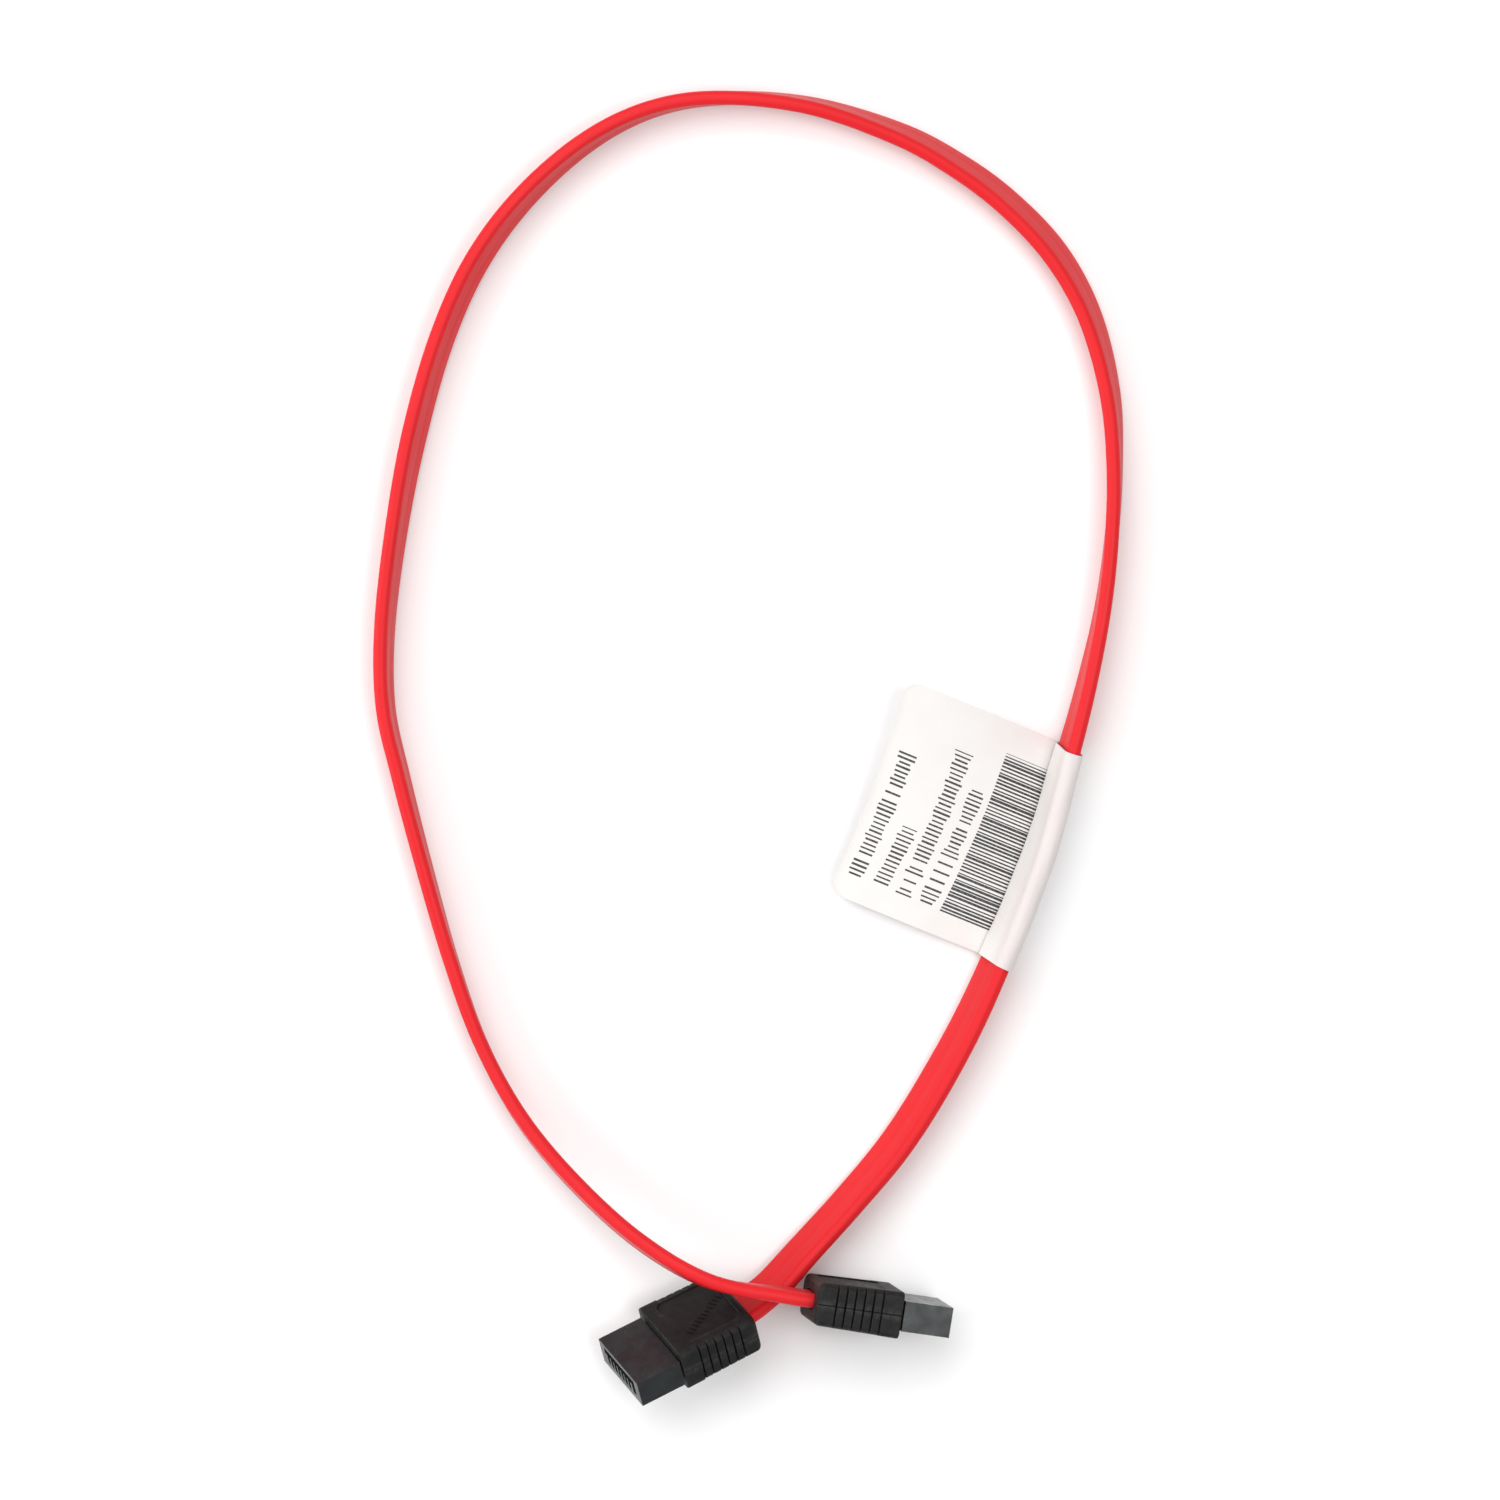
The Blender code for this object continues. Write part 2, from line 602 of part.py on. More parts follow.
def build_label(stations):
    run = [0.0]
    for (here, _, _), (there, _, _) in zip(stations, stations[1:]):
        run.append(run[-1] + (there - here).length)
    goal = Vector((LABEL_START[0] - ORIGIN_X, LABEL_START[1] - ORIGIN_Y))
    nearest = min(range(len(stations)), key=lambda i: (stations[i][0].to_2d() - goal).length)
    start = run[nearest] + (goal - stations[nearest][0].to_2d()).dot(
        (stations[nearest + 1][0] - stations[nearest][0]).to_2d().normalized()
    )
    insets = [FLAG_CORNER * (1 - math.cos(math.radians(a))) for a in (0, 30, 60, 90)]
    reach_cuts = [FLAG_CORNER * (1 - math.sin(math.radians(a))) for a in (0, 30, 60, 90)]
    middle = LABEL_STATIONS - 2
    inner_length = LABEL_LENGTH - 2 * FLAG_CORNER
    places = list(zip(insets, reach_cuts))
    places += [(FLAG_CORNER + inner_length * (i + 1) / (middle + 1), 0.0) for i in range(middle)]
    places += [(LABEL_LENGTH - a, b) for a, b in reversed(list(zip(insets, reach_cuts)))]
    grow = 2 * LABEL_GAP
    hole = rounded_section(CABLE_WIDTH + grow, CABLE_THICK + grow, CABLE_RADIUS + LABEL_GAP, 1)
    wrap = grow + 2 * LABEL_WALL
    skin = rounded_section(CABLE_WIDTH + wrap, CABLE_THICK + wrap, CABLE_RADIUS + wrap / 2, 1)
    count = len(skin)
    # The flag leaves from the wrap's lower corner on the inside of the loop.
    root = min(range(count), key=lambda i: skin[i][1] + skin[i][0])
    second = (root + 1) % count
    level = Vector((math.cos(math.radians(FLAG_HEADING)), math.sin(math.radians(FLAG_HEADING)), 0))
    rings = []
    for along, reach_cut in places:
        centre, through, wide = label_station(stations, run, start + along)
        outer = ring_at((centre, through, wide), skin)
        inner = ring_at((centre, through, wide), hole)
        travel = wide.cross(through)
        share = along / LABEL_LENGTH
        rise = FLAG_RISE_START * (1 - share) + FLAG_RISE_END * share
        reach = FLAG_REACH_START * (1 - share) + FLAG_REACH_END * share
        upper = []
        lower = []
        base = outer[second]
        for i in range(1, FLAG_STRIPS + 1):
            distance = (reach - reach_cut) * i / FLAG_STRIPS
            height = rise * distance + FLAG_CURL * distance * (reach - distance)
            away = level * distance + Vector((0, 0, height)) + travel * FLAG_SKEW * share
            normal = Vector((0, 0, FLAG_THICK))
            lower.append(base + away)
            upper.append(base + away + normal)
        rings.append(outer + inner + upper + lower)
    points = [p for ring in rings for p in ring]
    size = 2 * count + 2 * FLAG_STRIPS
    faces = []
    flag_loop = [root] + [2 * count + i for i in range(FLAG_STRIPS)]
    flag_loop += [2 * count + 2 * FLAG_STRIPS - 1 - i for i in range(FLAG_STRIPS)] + [second]
    for ring in range(len(rings) - 1):
        a = ring * size
        b = a + size
        for i in range(count):
            j = (i + 1) % count
            if i != root:
                faces.append((a + i, a + j, b + j, b + i))
            faces.append((a + count + i, a + count + j, b + count + j, b + count + i))
        for i, j in zip(flag_loop, flag_loop[1:]):
            faces.append((a + i, a + j, b + j, b + i))
    for a in (0, (len(rings) - 1) * size):
        for i in range(count):
            j = (i + 1) % count
            faces.append((a + i, a + j, a + count + j, a + count + i))
        half = len(flag_loop) // 2
        for i in range(half - 1):
            k = len(flag_loop) - 1 - i
            faces.append((a + flag_loop[i], a + flag_loop[i + 1], a + flag_loop[k - 1], a + flag_loop[k]))
    add_object("flag_label", points, faces, plain_material("label paper", PAPER, 0.6))


def main():
    clear_scene()
    poses = (pose_matrix(CONNECTOR_A), pose_matrix(CONNECTOR_B))
    stations, length = cable_stations(*poses)
    build_cable(stations)
    build_wires(stations, poses)
    for letter, pose in zip("ab", poses):
        placed = in_metres(pose)
        build_overmould(letter, placed)
        build_housing(letter, placed)
        build_contacts(letter, placed)
    build_label(stations)
    print(f"cable length {length:.1f} mm, {len(stations)} stations")


main()
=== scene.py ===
"""Dresses a flat red data cable with a moulded connector at each end and a paper flag label.

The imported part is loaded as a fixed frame, and each operator builds one piece, or a group of like pieces, over it.
Sizes are in metres, apart from those in a connector's own axes and the print's rows, which are in millimetres.
+Z is up from the table, and the loop is seen from straight above.
"""

import math
import random

import bmesh
import bpy
from bpy.props import FloatProperty, FloatVectorProperty, IntProperty, PointerProperty
from mathutils import Matrix, Vector, noise


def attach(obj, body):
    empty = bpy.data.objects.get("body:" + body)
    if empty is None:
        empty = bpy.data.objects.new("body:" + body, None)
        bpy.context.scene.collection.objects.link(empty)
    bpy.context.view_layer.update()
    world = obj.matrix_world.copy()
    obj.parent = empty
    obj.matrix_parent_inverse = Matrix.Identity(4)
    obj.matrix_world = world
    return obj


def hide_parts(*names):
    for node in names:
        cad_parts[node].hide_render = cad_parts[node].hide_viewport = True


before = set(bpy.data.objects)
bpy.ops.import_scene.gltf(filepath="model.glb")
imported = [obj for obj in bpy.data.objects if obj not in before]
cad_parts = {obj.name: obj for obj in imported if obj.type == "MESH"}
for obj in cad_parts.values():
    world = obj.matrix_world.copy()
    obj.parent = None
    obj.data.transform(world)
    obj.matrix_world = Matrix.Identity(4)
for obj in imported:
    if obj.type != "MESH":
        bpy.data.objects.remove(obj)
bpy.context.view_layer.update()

bl_info = {
    "name": "Flat data cable",
    "version": (1, 0, 0),
    "blender": (4, 5, 0),
    "location": "View3D > Sidebar > Cable",
    "description": "Builds a flat data cable with moulded connectors and a paper flag label",
    "category": "Add Mesh",
}

MM = 0.001

# Where the part's origin lies in the coordinates of the poses and the route, which start under the camera
ORIGIN = Vector((15.4 * MM, -49.8 * MM, 0.0))

# Poses: middle of the rear face, and in degrees the nose's heading from +X, its rise, and the turn about its axis
CONNECTORS = {
    "a": ((-0.0020, -0.0947, 0.00765), -154.3, 16.0, 52.0),
    "b": ((0.0100, -0.0923, 0.01290), -8.8, -9.5, 91.0),
}

# Route between the connectors: x, y, outward lean in degrees, and lift off the table
ROUTE = (
    (0.0034, -0.0910, 36.0, 0.0019),
    (0.0088, -0.0852, 33.5, 0.0004),
    (0.0169, -0.0763, 32.5, 0.0),
    (0.0249, -0.0666, 34.0, 0.0),
    (0.0322, -0.0550, 34.0, 0.0003),
    (0.0394, -0.0410, 30.0, 0.0005),
    (0.0485, -0.0190, 22.0, 0.0005),
    (0.0540, -0.0003, 14.0, 0.0005),
    (0.0572, 0.0118, 9.0, 0.0003),
    (0.0598, 0.0240, 3.0, 0.0),
    (0.0613, 0.0360, -2.0, 0.0),
    (0.0618, 0.0480, -7.0, 0.0),
    (0.0610, 0.0605, -15.0, 0.0),
    (0.0576, 0.0735, -22.0, 0.0),
    (0.0518, 0.0841, -27.0, 0.0),
    (0.0436, 0.0928, -27.0, 0.0),
    (0.0348, 0.0993, -25.0, 0.0),
    (0.0250, 0.1045, -21.0, 0.0),
    (0.0102, 0.1092, -12.0, 0.0),
    (-0.0051, 0.1105, -4.0, 0.0),
    (-0.0170, 0.1085, 2.0, 0.0),
    (-0.0280, 0.1028, 8.0, 0.0),
    (-0.0385, 0.0934, 13.0, 0.0),
    (-0.0466, 0.0823, 16.0, 0.0),
    (-0.0525, 0.0690, 16.5, 0.0),
    (-0.0570, 0.0530, 16.5, 0.0),
    (-0.0600, 0.0370, 12.0, 0.0),
    (-0.0619, 0.0210, 9.0, 0.0),
    (-0.0618, 0.0075, 7.0, 0.0),
    (-0.0592, -0.0045, 5.5, 0.0),
    (-0.0551, -0.0203, 3.0, 0.0),
    (-0.0506, -0.0360, 0.0, 0.0),
    (-0.0455, -0.0500, -2.5, 0.0003),
    (-0.0384, -0.0627, -5.0, 0.0018),
    (-0.0290, -0.0737, -7.0, 0.0042),
    (-0.0180, -0.0832, -8.0, 0.0076),
    (-0.0065, -0.0894, -6.0, 0.0103),
)
SPAN_STEPS = 24

CONTACTS = 7

# Contact's centre line from its tail to its tip, as distance forward and height, in the connector's own axes
CONTACT_LINE = (
    (4.2, -0.85),
    (6.6, -0.85),
    (7.2, -0.7),
    (16.0, -0.7),
    (18.6, 0.1),
    (20.4, 0.72),
    (21.4, 0.6),
    (22.7, -0.3),
)

# How a wire spreads from the cable to its contact, from the tip back: distance forward, share of the way
# across, share of the way down, and whether it is bare
WIRE_DROP = -0.46 * MM
WIRE_FAN = (
    (6.4, 1.0, 1.0, True),
    (5.05, 1.0, 1.0, True),
    (3.7, 0.8, 0.7, True),
    (3.5, 0.7, 0.5, False),
    (3.0, 0.5, 0.3, False),
)


def distance(name, description, millimetres):
    """A size that a user may change, shown as a distance."""
    return FloatProperty(
        name=name,
        description=description,
        default=millimetres * MM,
        min=0.0,
        precision=5,
        subtype="DISTANCE",
        unit="LENGTH",
    )


def colour(name, description, red, green, blue):
    return FloatVectorProperty(
        name=name,
        description=description,
        default=(red, green, blue),
        min=0.0,
        max=1.0,
        size=3,
        subtype="COLOR",
    )


def factor(name, description, value):
    return FloatProperty(name=name, description=description, default=value, min=0.0, max=1.0, subtype="FACTOR")


class CableSizes(bpy.types.PropertyGroup):
    width: distance("Width", "Width of the flat cable", 8.0)
    thick: distance("Thickness", "Thickness of the flat cable", 2.4)
    corner: distance("Corner", "Radius of the long edges that the jacket rests on", 0.75)
    rounding: distance("Rounding", "Radius of the jacket's long edges as they look", 1.08)
    dip: distance("Dip", "Depth of the shallow dip between the two pairs", 0.06)
    cavity_width: distance("Cavity width", "Width of the room inside the jacket", 7.2)
    cavity_thick: distance("Cavity thickness", "Thickness of the room inside the jacket", 1.7)
    pair_offset: distance("Pair offset", "Distance of each shielded pair from the middle", 1.78)
    foil_width: distance("Foil width", "Width of the foil round a pair", 3.3)
    foil_thick: distance("Foil thickness", "Thickness of the foil round a pair", 1.46)
    wire_radius: distance("Wire radius", "Radius of an insulated signal wire", 0.5)
    wire_offset: distance("Wire offset", "Distance of a signal wire from its pair's middle", 0.56)
    drain_radius: distance("Drain radius", "Radius of a bare drain wire", 0.15)
    drain_offset: distance("Drain offset", "Distance of a drain wire from its pair's middle", 1.28)
    step: distance("Step", "Spacing of the jacket's sections", 1.2)
    red: colour("Jacket", "Colour of the vinyl jacket", 0.64, 0.015, 0.020)
    gloss: factor("Roughness", "Roughness of the jacket", 0.42)


class ConnectorSizes(bpy.types.PropertyGroup):
    mould_length: distance("Mould length", "Length of the overmould", 14.6)
    mould_width: distance("Mould width", "Width of the overmould", 15.9)
    rear_thick: distance("Rear thickness", "Thickness of the overmould at its rear", 7.3)
    front_thick: distance("Front thickness", "Thickness of the overmould at its front", 7.9)
    groove_first: distance("First groove", "Distance of the first groove from the rear", 3.25)
    groove_pitch: distance("Groove pitch", "Spacing of the finger grooves", 1.56)
    groove_depth: distance("Groove depth", "Depth of the finger grooves", 0.34)
    grooves: IntProperty(name="Grooves", description="Number of finger grooves on a side", default=6, min=0)
    panel_depth: distance("Panel depth", "Depth of the recessed panel on each wide face", 0.25)
    nose_length: distance("Nose length", "Length of the plug's nose", 8.5)
    nose_width: distance("Nose width", "Width of the plug's nose", 14.4)
    nose_thick: distance("Nose thickness", "Thickness of the plug's nose", 5.1)
    nose_shift: distance("Nose shift", "Distance of the nose from the mould's middle", 0.55)
    contact_pitch: distance("Contact pitch", "Spacing of the contacts", 1.27)
    mould_black: colour("Overmould", "Colour of the soft overmould", 0.0130, 0.0124, 0.0122)
    nose_black: colour("Nose", "Colour of the hard nose", 0.0185, 0.0212, 0.0224)
    gold: colour("Contacts", "Colour of the contacts' plating", 0.86, 0.66, 0.36)


class LabelSizes(bpy.types.PropertyGroup):
    start: distance("Start", "Distance of the label's near end along the cable from connector A", 75.59)
    length: distance("Length", "Length of the label along the cable", 38.0)
    gap: distance("Gap", "Room between the cable and the paper round it", 0.3)
    wall: distance("Wall", "Thickness of the paper round the cable", 0.2)
    flag_thick: distance("Flag thickness", "Thickness of the two sheets of the flag", 0.34)
    reach_start: distance("Reach at the start", "Length of the flag at its near end", 27.9)
    reach_end: distance("Reach at the end", "Length of the flag at its far end", 28.2)
    bend: distance("Bend", "Radius of the paper round the cable's edges", 1.6)
    corner: distance("Corner", "Radius of the flag's free corners", 3.0)
    paper: colour("Paper", "Colour of the paper", 0.725, 0.702, 0.683)
    ink: colour("Ink", "Colour of the print", 0.012, 0.012, 0.016)


class StageSizes(bpy.types.PropertyGroup):
    height: distance("Camera height", "Height of the camera over the table", 1200.0)
    field: distance("Field", "Width of the table that the camera sees", 255.1)
    floor: distance("Floor", "Width of the floor", 4000.0)
    pale: colour("Floor colour", "Colour of the floor", 0.863, 0.864, 0.864)


def piece_sizes(context):
    scene = context.scene
    return scene.cable_sizes, scene.connector_sizes, scene.label_sizes, scene.stage_sizes


# Shader helpers


def feed(tree, inputs, values):
    """Gives each named input its plain value, or links another node's socket to it."""
    for name, value in values.items():
        if isinstance(value, bpy.types.NodeSocket):
            tree.links.new(value, inputs[name])
        else:
            inputs[name].default_value = value


def add_node(tree, kind, inputs=None, **settings):
    """A node whose settings and inputs are given by name."""
    made = tree.nodes.new(kind)
    for name, value in settings.items():
        setattr(made, name, value)
    feed(tree, made.inputs, inputs or {})
    return made


def calculate(tree, operation, first, second=0.0, third=0.0, clamp=False):
    made = add_node(tree, "ShaderNodeMath", {0: first, 1: second, 2: third}, operation=operation, use_clamp=clamp)
    return made.outputs[0]


def product(tree, first, second):
    return calculate(tree, "MULTIPLY", first, second)


def inside(tree, value, low, high):
    """1 where the value lies between low and high."""
    return product(tree, calculate(tree, "GREATER_THAN", value, low), calculate(tree, "LESS_THAN", value, high))


def remap(tree, value, low, high, to_low, to_high):
    ends = {"From Min": low, "From Max": high, "To Min": to_low, "To Max": to_high}
    return add_node(tree, "ShaderNodeMapRange", {"Value": value, **ends}).outputs[0]


def noise_value(tree, vector, scale, detail=2.0, roughness=0.5):
    inputs = {"Vector": vector, "Scale": scale, "Detail": detail, "Roughness": roughness}
    return add_node(tree, "ShaderNodeTexNoise", inputs).outputs[0]


def stretch(tree, vector, scale):
    return add_node(tree, "ShaderNodeMapping", {"Vector": vector, "Scale": scale}).outputs[0]


def mixed(tree, share, first, second):
    """A colour mix; inputs 6 and 7 and output 2 are the node's colour sockets."""
    return add_node(tree, "ShaderNodeMix", {"Factor": share, 6: first, 7: second}, data_type="RGBA").outputs[2]


def opaque(rgb, shade=1.0):
    """A colour with its alpha, made darker or lighter by shade."""
    return (*(c * shade for c in rgb), 1.0)


PINK_DUST = opaque((0.80, 0.55, 0.54))
GREY_DUST = opaque((0.42, 0.41, 0.40))
RUBBED_BLACK = opaque((0.085, 0.084, 0.082))
RUBBED_METAL = opaque((0.9, 0.88, 0.84))
RED_TINT_AND_SHADE = opaque((0.60, 0.53, 0.53))
WORN_PAPER = opaque((0.45, 0.43, 0.40))


def start_group(name, inputs, outputs):
    """A shader node group with its named sockets, and the nodes that stand for them."""
    tree = bpy.data.node_groups.new(name, "ShaderNodeTree")
    kinds = {"number": "NodeSocketFloat", "vector": "NodeSocketVector", "colour": "NodeSocketColor"}
    for label, kind, value in inputs:
        socket = tree.interface.new_socket(name=label, in_out="INPUT", socket_type=kinds[kind])
        if value is not None:
            socket.default_value = value
    for label, kind in outputs:
        tree.interface.new_socket(name=label, in_out="OUTPUT", socket_type=kinds[kind])
    return tree, tree.nodes.new("NodeGroupInput").outputs, tree.nodes.new("NodeGroupOutput").inputs


def built_once(build):
    """Builds a node group at its first use, named after its function, and hands the same one out after that."""
    name = build.__name__.replace("_", " ")

    def shared():
        return bpy.data.node_groups.get(name) or build(name)

    return shared


@built_once
def moulded_grain(name):
    """Fine texture of moulded or drawn plastic: a height, and a shift of the roughness."""
    tree, given, out = start_group(
        name,
        (("Place", "vector", None), ("Grains per metre", "number", 6000.0), ("Waves per metre", "number", 500.0)),
        (("Height", "number"), ("Roughness shift", "number")),
    )
    fine = noise_value(tree, given["Place"], given["Grains per metre"], 3.0, 0.6)
    broad = noise_value(tree, given["Place"], given["Waves per metre"], 2.0, 0.5)
    tree.links.new(calculate(tree, "MULTIPLY_ADD", fine, 0.35, product(tree, broad, 0.65)), out["Height"])
    shift = calculate(tree, "SUBTRACT", calculate(tree, "MULTIPLY_ADD", fine, 0.4, broad), 0.7)
    tree.links.new(shift, out["Roughness shift"])
    return tree


@built_once
def sparse_dust(name):
    """Small pale specks scattered over a surface."""
    tree, given, out = start_group(
        name,
        (("Place", "vector", None), ("Cells per metre", "number", 400.0), ("Speck size", "number", 0.05),
         ("Share of cells", "number", 0.1)),
        (("Mask", "number"),),
    )
    cells = add_node(tree, "ShaderNodeTexVoronoi", {"Vector": given["Place"], "Scale": given["Cells per metre"]})
    random_value = add_node(tree, "ShaderNodeSeparateColor", {"Color": cells.outputs["Color"]})
    chosen = calculate(tree, "LESS_THAN", random_value.outputs[0], given["Share of cells"])
    size = product(tree, given["Speck size"], random_value.outputs[1])
    near = calculate(tree, "LESS_THAN", cells.outputs["Distance"], size)
    tree.links.new(product(tree, chosen, near), out["Mask"])
    return tree


@built_once
def edge_wear(name):
    """Where a corner is rubbed lighter: its edge value broken up by a fine pattern."""
    tree, given, out = start_group(
        name,
        (("Place", "vector", None), ("Edge", "number", 0.0), ("Amount", "number", 0.5)),
        (("Mask", "number"),),
    )
    pattern = noise_value(tree, given["Place"], 1400.0, 3.0, 0.6)
    worn = remap(tree, pattern, 0.38, 0.68, 0.2, 1.0)
    outer = calculate(tree, "MAXIMUM", given["Edge"], 0.0)
    tree.links.new(product(tree, product(tree, outer, worn), given["Amount"]), out["Mask"])
    return tree


@built_once
def soft_mottle(name):
    """A colour that drifts a little lighter and darker over the surface."""
    tree, given, out = start_group(
        name,
        (("Place", "vector", None), ("Patches per metre", "number", 90.0), ("Dark", "colour", (0.1, 0.1, 0.1, 1.0)),
         ("Light", "colour", (0.2, 0.2, 0.2, 1.0))),
        (("Colour", "colour"),),
    )
    patches = noise_value(tree, given["Place"], given["Patches per metre"], 3.0, 0.55)
    share = remap(tree, patches, 0.3, 0.7, 0.0, 1.0)
    tree.links.new(mixed(tree, share, given["Dark"], given["Light"]), out["Colour"])
    return tree


@built_once
def tick_row(name):
    """One row of short printed ticks, between two distances along the sheet."""
    tree, given, out = start_group(
        name,
        (("Along", "number", 0.0), ("Reach", "number", 0.0), ("Start", "number", 0.0), ("End", "number", 1.0),
         ("Middle", "number", 0.0), ("Slope", "number", 0.0), ("Height", "number", 2.0), ("Seed", "number", 0.0)),
        (("Mask", "number"),),
    )
    run = calculate(tree, "SUBTRACT", given["Along"], given["Start"])
    middle = calculate(tree, "MULTIPLY_ADD", run, given["Slope"], given["Middle"])
    off = calculate(tree, "ABSOLUTE", calculate(tree, "SUBTRACT", given["Reach"], middle))
    place = calculate(tree, "MULTIPLY_ADD", run, 1 / TICK_PITCH, given["Seed"])
    cell = calculate(tree, "FLOOR", place)
    values = add_node(tree, "ShaderNodeTexWhiteNoise", {"W": cell}, noise_dimensions="1D").outputs["Color"]
    parts = add_node(tree, "ShaderNodeSeparateColor", {"Color": values}).outputs
    wide = remap(tree, parts[2], 0.0, 1.0, 0.34, 0.5)
    stroke = calculate(tree, "LESS_THAN", calculate(tree, "FRACT", place), wide)
    drawn = calculate(tree, "GREATER_THAN", parts[0], 0.1)
    half = product(tree, given["Height"], remap(tree, parts[1], 0.0, 1.0, 0.3, 0.5))
    tall = calculate(tree, "LESS_THAN", off, half)
    ends = inside(tree, given["Along"], given["Start"], given["End"])
    mask = product(tree, product(tree, stroke, drawn), product(tree, tall, ends))
    tree.links.new(mask, out["Mask"])
    return tree


def use_group(tree, group, inputs):
    return add_node(tree, "ShaderNodeGroup", inputs, node_tree=group).outputs


def mottled(tree, place, patches, dark, light):
    inputs = {"Place": place, "Patches per metre": patches, "Dark": dark, "Light": light}
    return use_group(tree, soft_mottle(), inputs)["Colour"]


def grained(tree, place, grains, waves):
    inputs = {"Place": place, "Grains per metre": grains, "Waves per metre": waves}
    return use_group(tree, moulded_grain(), inputs)


def dusted(tree, place, cells, size, share):
    inputs = {"Place": place, "Cells per metre": cells, "Speck size": size, "Share of cells": share}
    return use_group(tree, sparse_dust(), inputs)["Mask"]


def rubbed(tree, place, edge, amount):
    return use_group(tree, edge_wear(), {"Place": place, "Edge": edge, "Amount": amount})["Mask"]


def start_material(name, rough, metallic=0.0, specular=0.5):
    """A material, its tree, its Principled shader and the sockets of the piece's own place and edge values."""
    made = bpy.data.materials.new(name)
    made.use_nodes = True
    tree = made.node_tree
    shader = tree.nodes["Principled BSDF"]
    shader.inputs["Roughness"].default_value = rough
    shader.inputs["Metallic"].default_value = metallic
    shader.inputs["Specular IOR Level"].default_value = specular
    place = add_node(tree, "ShaderNodeAttribute", attribute_name="place").outputs["Vector"]
    edge = add_node(tree, "ShaderNodeAttribute", attribute_name="edge").outputs["Fac"]
    return made, tree, shader, place, edge


def set_bump(tree, shader, height, depth, strength=1.0):
    bump = add_node(tree, "ShaderNodeBump", {"Height": height, "Distance": depth, "Strength": strength})
    tree.links.new(bump.outputs["Normal"], shader.inputs["Normal"])


def jacket_material(cable):
    """Soft red vinyl with drawn lines along it, and painted shade along the dip in the middle of each wide face. Its
    place runs along the cable, across it and through it.
    """
    made, tree, shader, place, _ = start_material("jacket vinyl", cable.gloss, specular=0.14)
    red = cable.red
    light = (min(1.0, red[0] * 1.04), red[1] * 1.1, red[2] * 1.1)
    stretched = stretch(tree, place, (0.12, 1.0, 1.0))
    mottle = mottled(tree, stretched, 260.0, opaque(red, 0.96), opaque(light))
    across = add_node(tree, "ShaderNodeSeparateXYZ", {"Vector": place}).outputs[1]
    middle = calculate(tree, "ABSOLUTE", across)
    # Painted shade: the red is darkened a little along the middle of each wide face, over the shallow dip.
    crease = remap(tree, middle, 0.0, 0.7 * MM, 1.0, 0.0)
    shaded = mixed(tree, product(tree, crease, 0.05), mottle, opaque(red, 0.6))
    dust = product(tree, dusted(tree, place, 220.0, 0.035, 0.03), 0.3)
    dusty = mixed(tree, dust, shaded, PINK_DUST)
    tree.links.new(dusty, shader.inputs["Base Color"])
    lines = noise_value(tree, stretch(tree, place, (0.01, 1.0, 1.0)), 2600.0, 2.0, 0.6)
    grain = grained(tree, stretched, 7000.0, 420.0)
    height = calculate(tree, "MULTIPLY_ADD", lines, 0.5, grain["Height"])
    set_bump(tree, shader, height, 0.03 * MM, 0.5)
    rough = calculate(tree, "MULTIPLY_ADD", grain["Roughness shift"], 0.22, cable.gloss, clamp=True)
    tree.links.new(rough, shader.inputs["Roughness"])
    return made


def plastic_material(name, rgb, rough, specular, grains, waves, wear, dust_share, light, relief):
    """Black plastic with a moulded grain, rubbed outer corners, painted shade in its inner corners and a little
    dust.

    grains and waves are counts per metre, light is how pale the pale patches are, and relief the bump's strength.
    """
    made, tree, shader, place, edge = start_material(name, rough, specular=specular)
    mottle = mottled(tree, place, 0.78 * waves, opaque(rgb, 0.85), opaque(rgb, light))
    # Painted shade: inner corners, recesses, groove floors and the ticks are darkened towards a deeper black.
    hollow = remap(tree, edge, -0.7, 0.0, 0.85, 0.0)
    mottle = mixed(tree, hollow, mottle, opaque(rgb, 0.15))
    worn = rubbed(tree, place, edge, wear)
    pale = mixed(tree, worn, mottle, RUBBED_BLACK)
    dust = product(tree, dusted(tree, place, 700.0, 0.11, dust_share), 0.35)
    dusty = mixed(tree, dust, pale, GREY_DUST)
    tree.links.new(dusty, shader.inputs["Base Color"])
    grain = grained(tree, place, grains, waves)
    set_bump(tree, shader, grain["Height"], 0.03 * MM, relief)
    shift = calculate(tree, "MULTIPLY_ADD", grain["Roughness shift"], 0.35, rough)
    final = calculate(tree, "MULTIPLY_ADD", worn, -0.06, shift, clamp=True)
    tree.links.new(final, shader.inputs["Roughness"])
    return made


def metal_material(name, rgb, rough, ridges, depth):
    """Plated or drawn metal with fine lines along it and small darker patches."""
    made, tree, shader, place, edge = start_material(name, rough, 1.0)
    mottle = mottled(tree, place, 900.0, opaque(rgb, 0.78), opaque(rgb, 1.05))
    bright = mixed(tree, rubbed(tree, place, edge, 0.4), mottle, RUBBED_METAL)
    tree.links.new(bright, shader.inputs["Base Color"])
    lines = noise_value(tree, stretch(tree, place, (0.05, 1.0, 1.0)), ridges, 3.0, 0.6)
    set_bump(tree, shader, lines, depth, 0.6)
    tree.links.new(remap(tree, lines, 0.3, 0.7, rough * 0.8, rough * 1.3), shader.inputs["Roughness"])
    return made


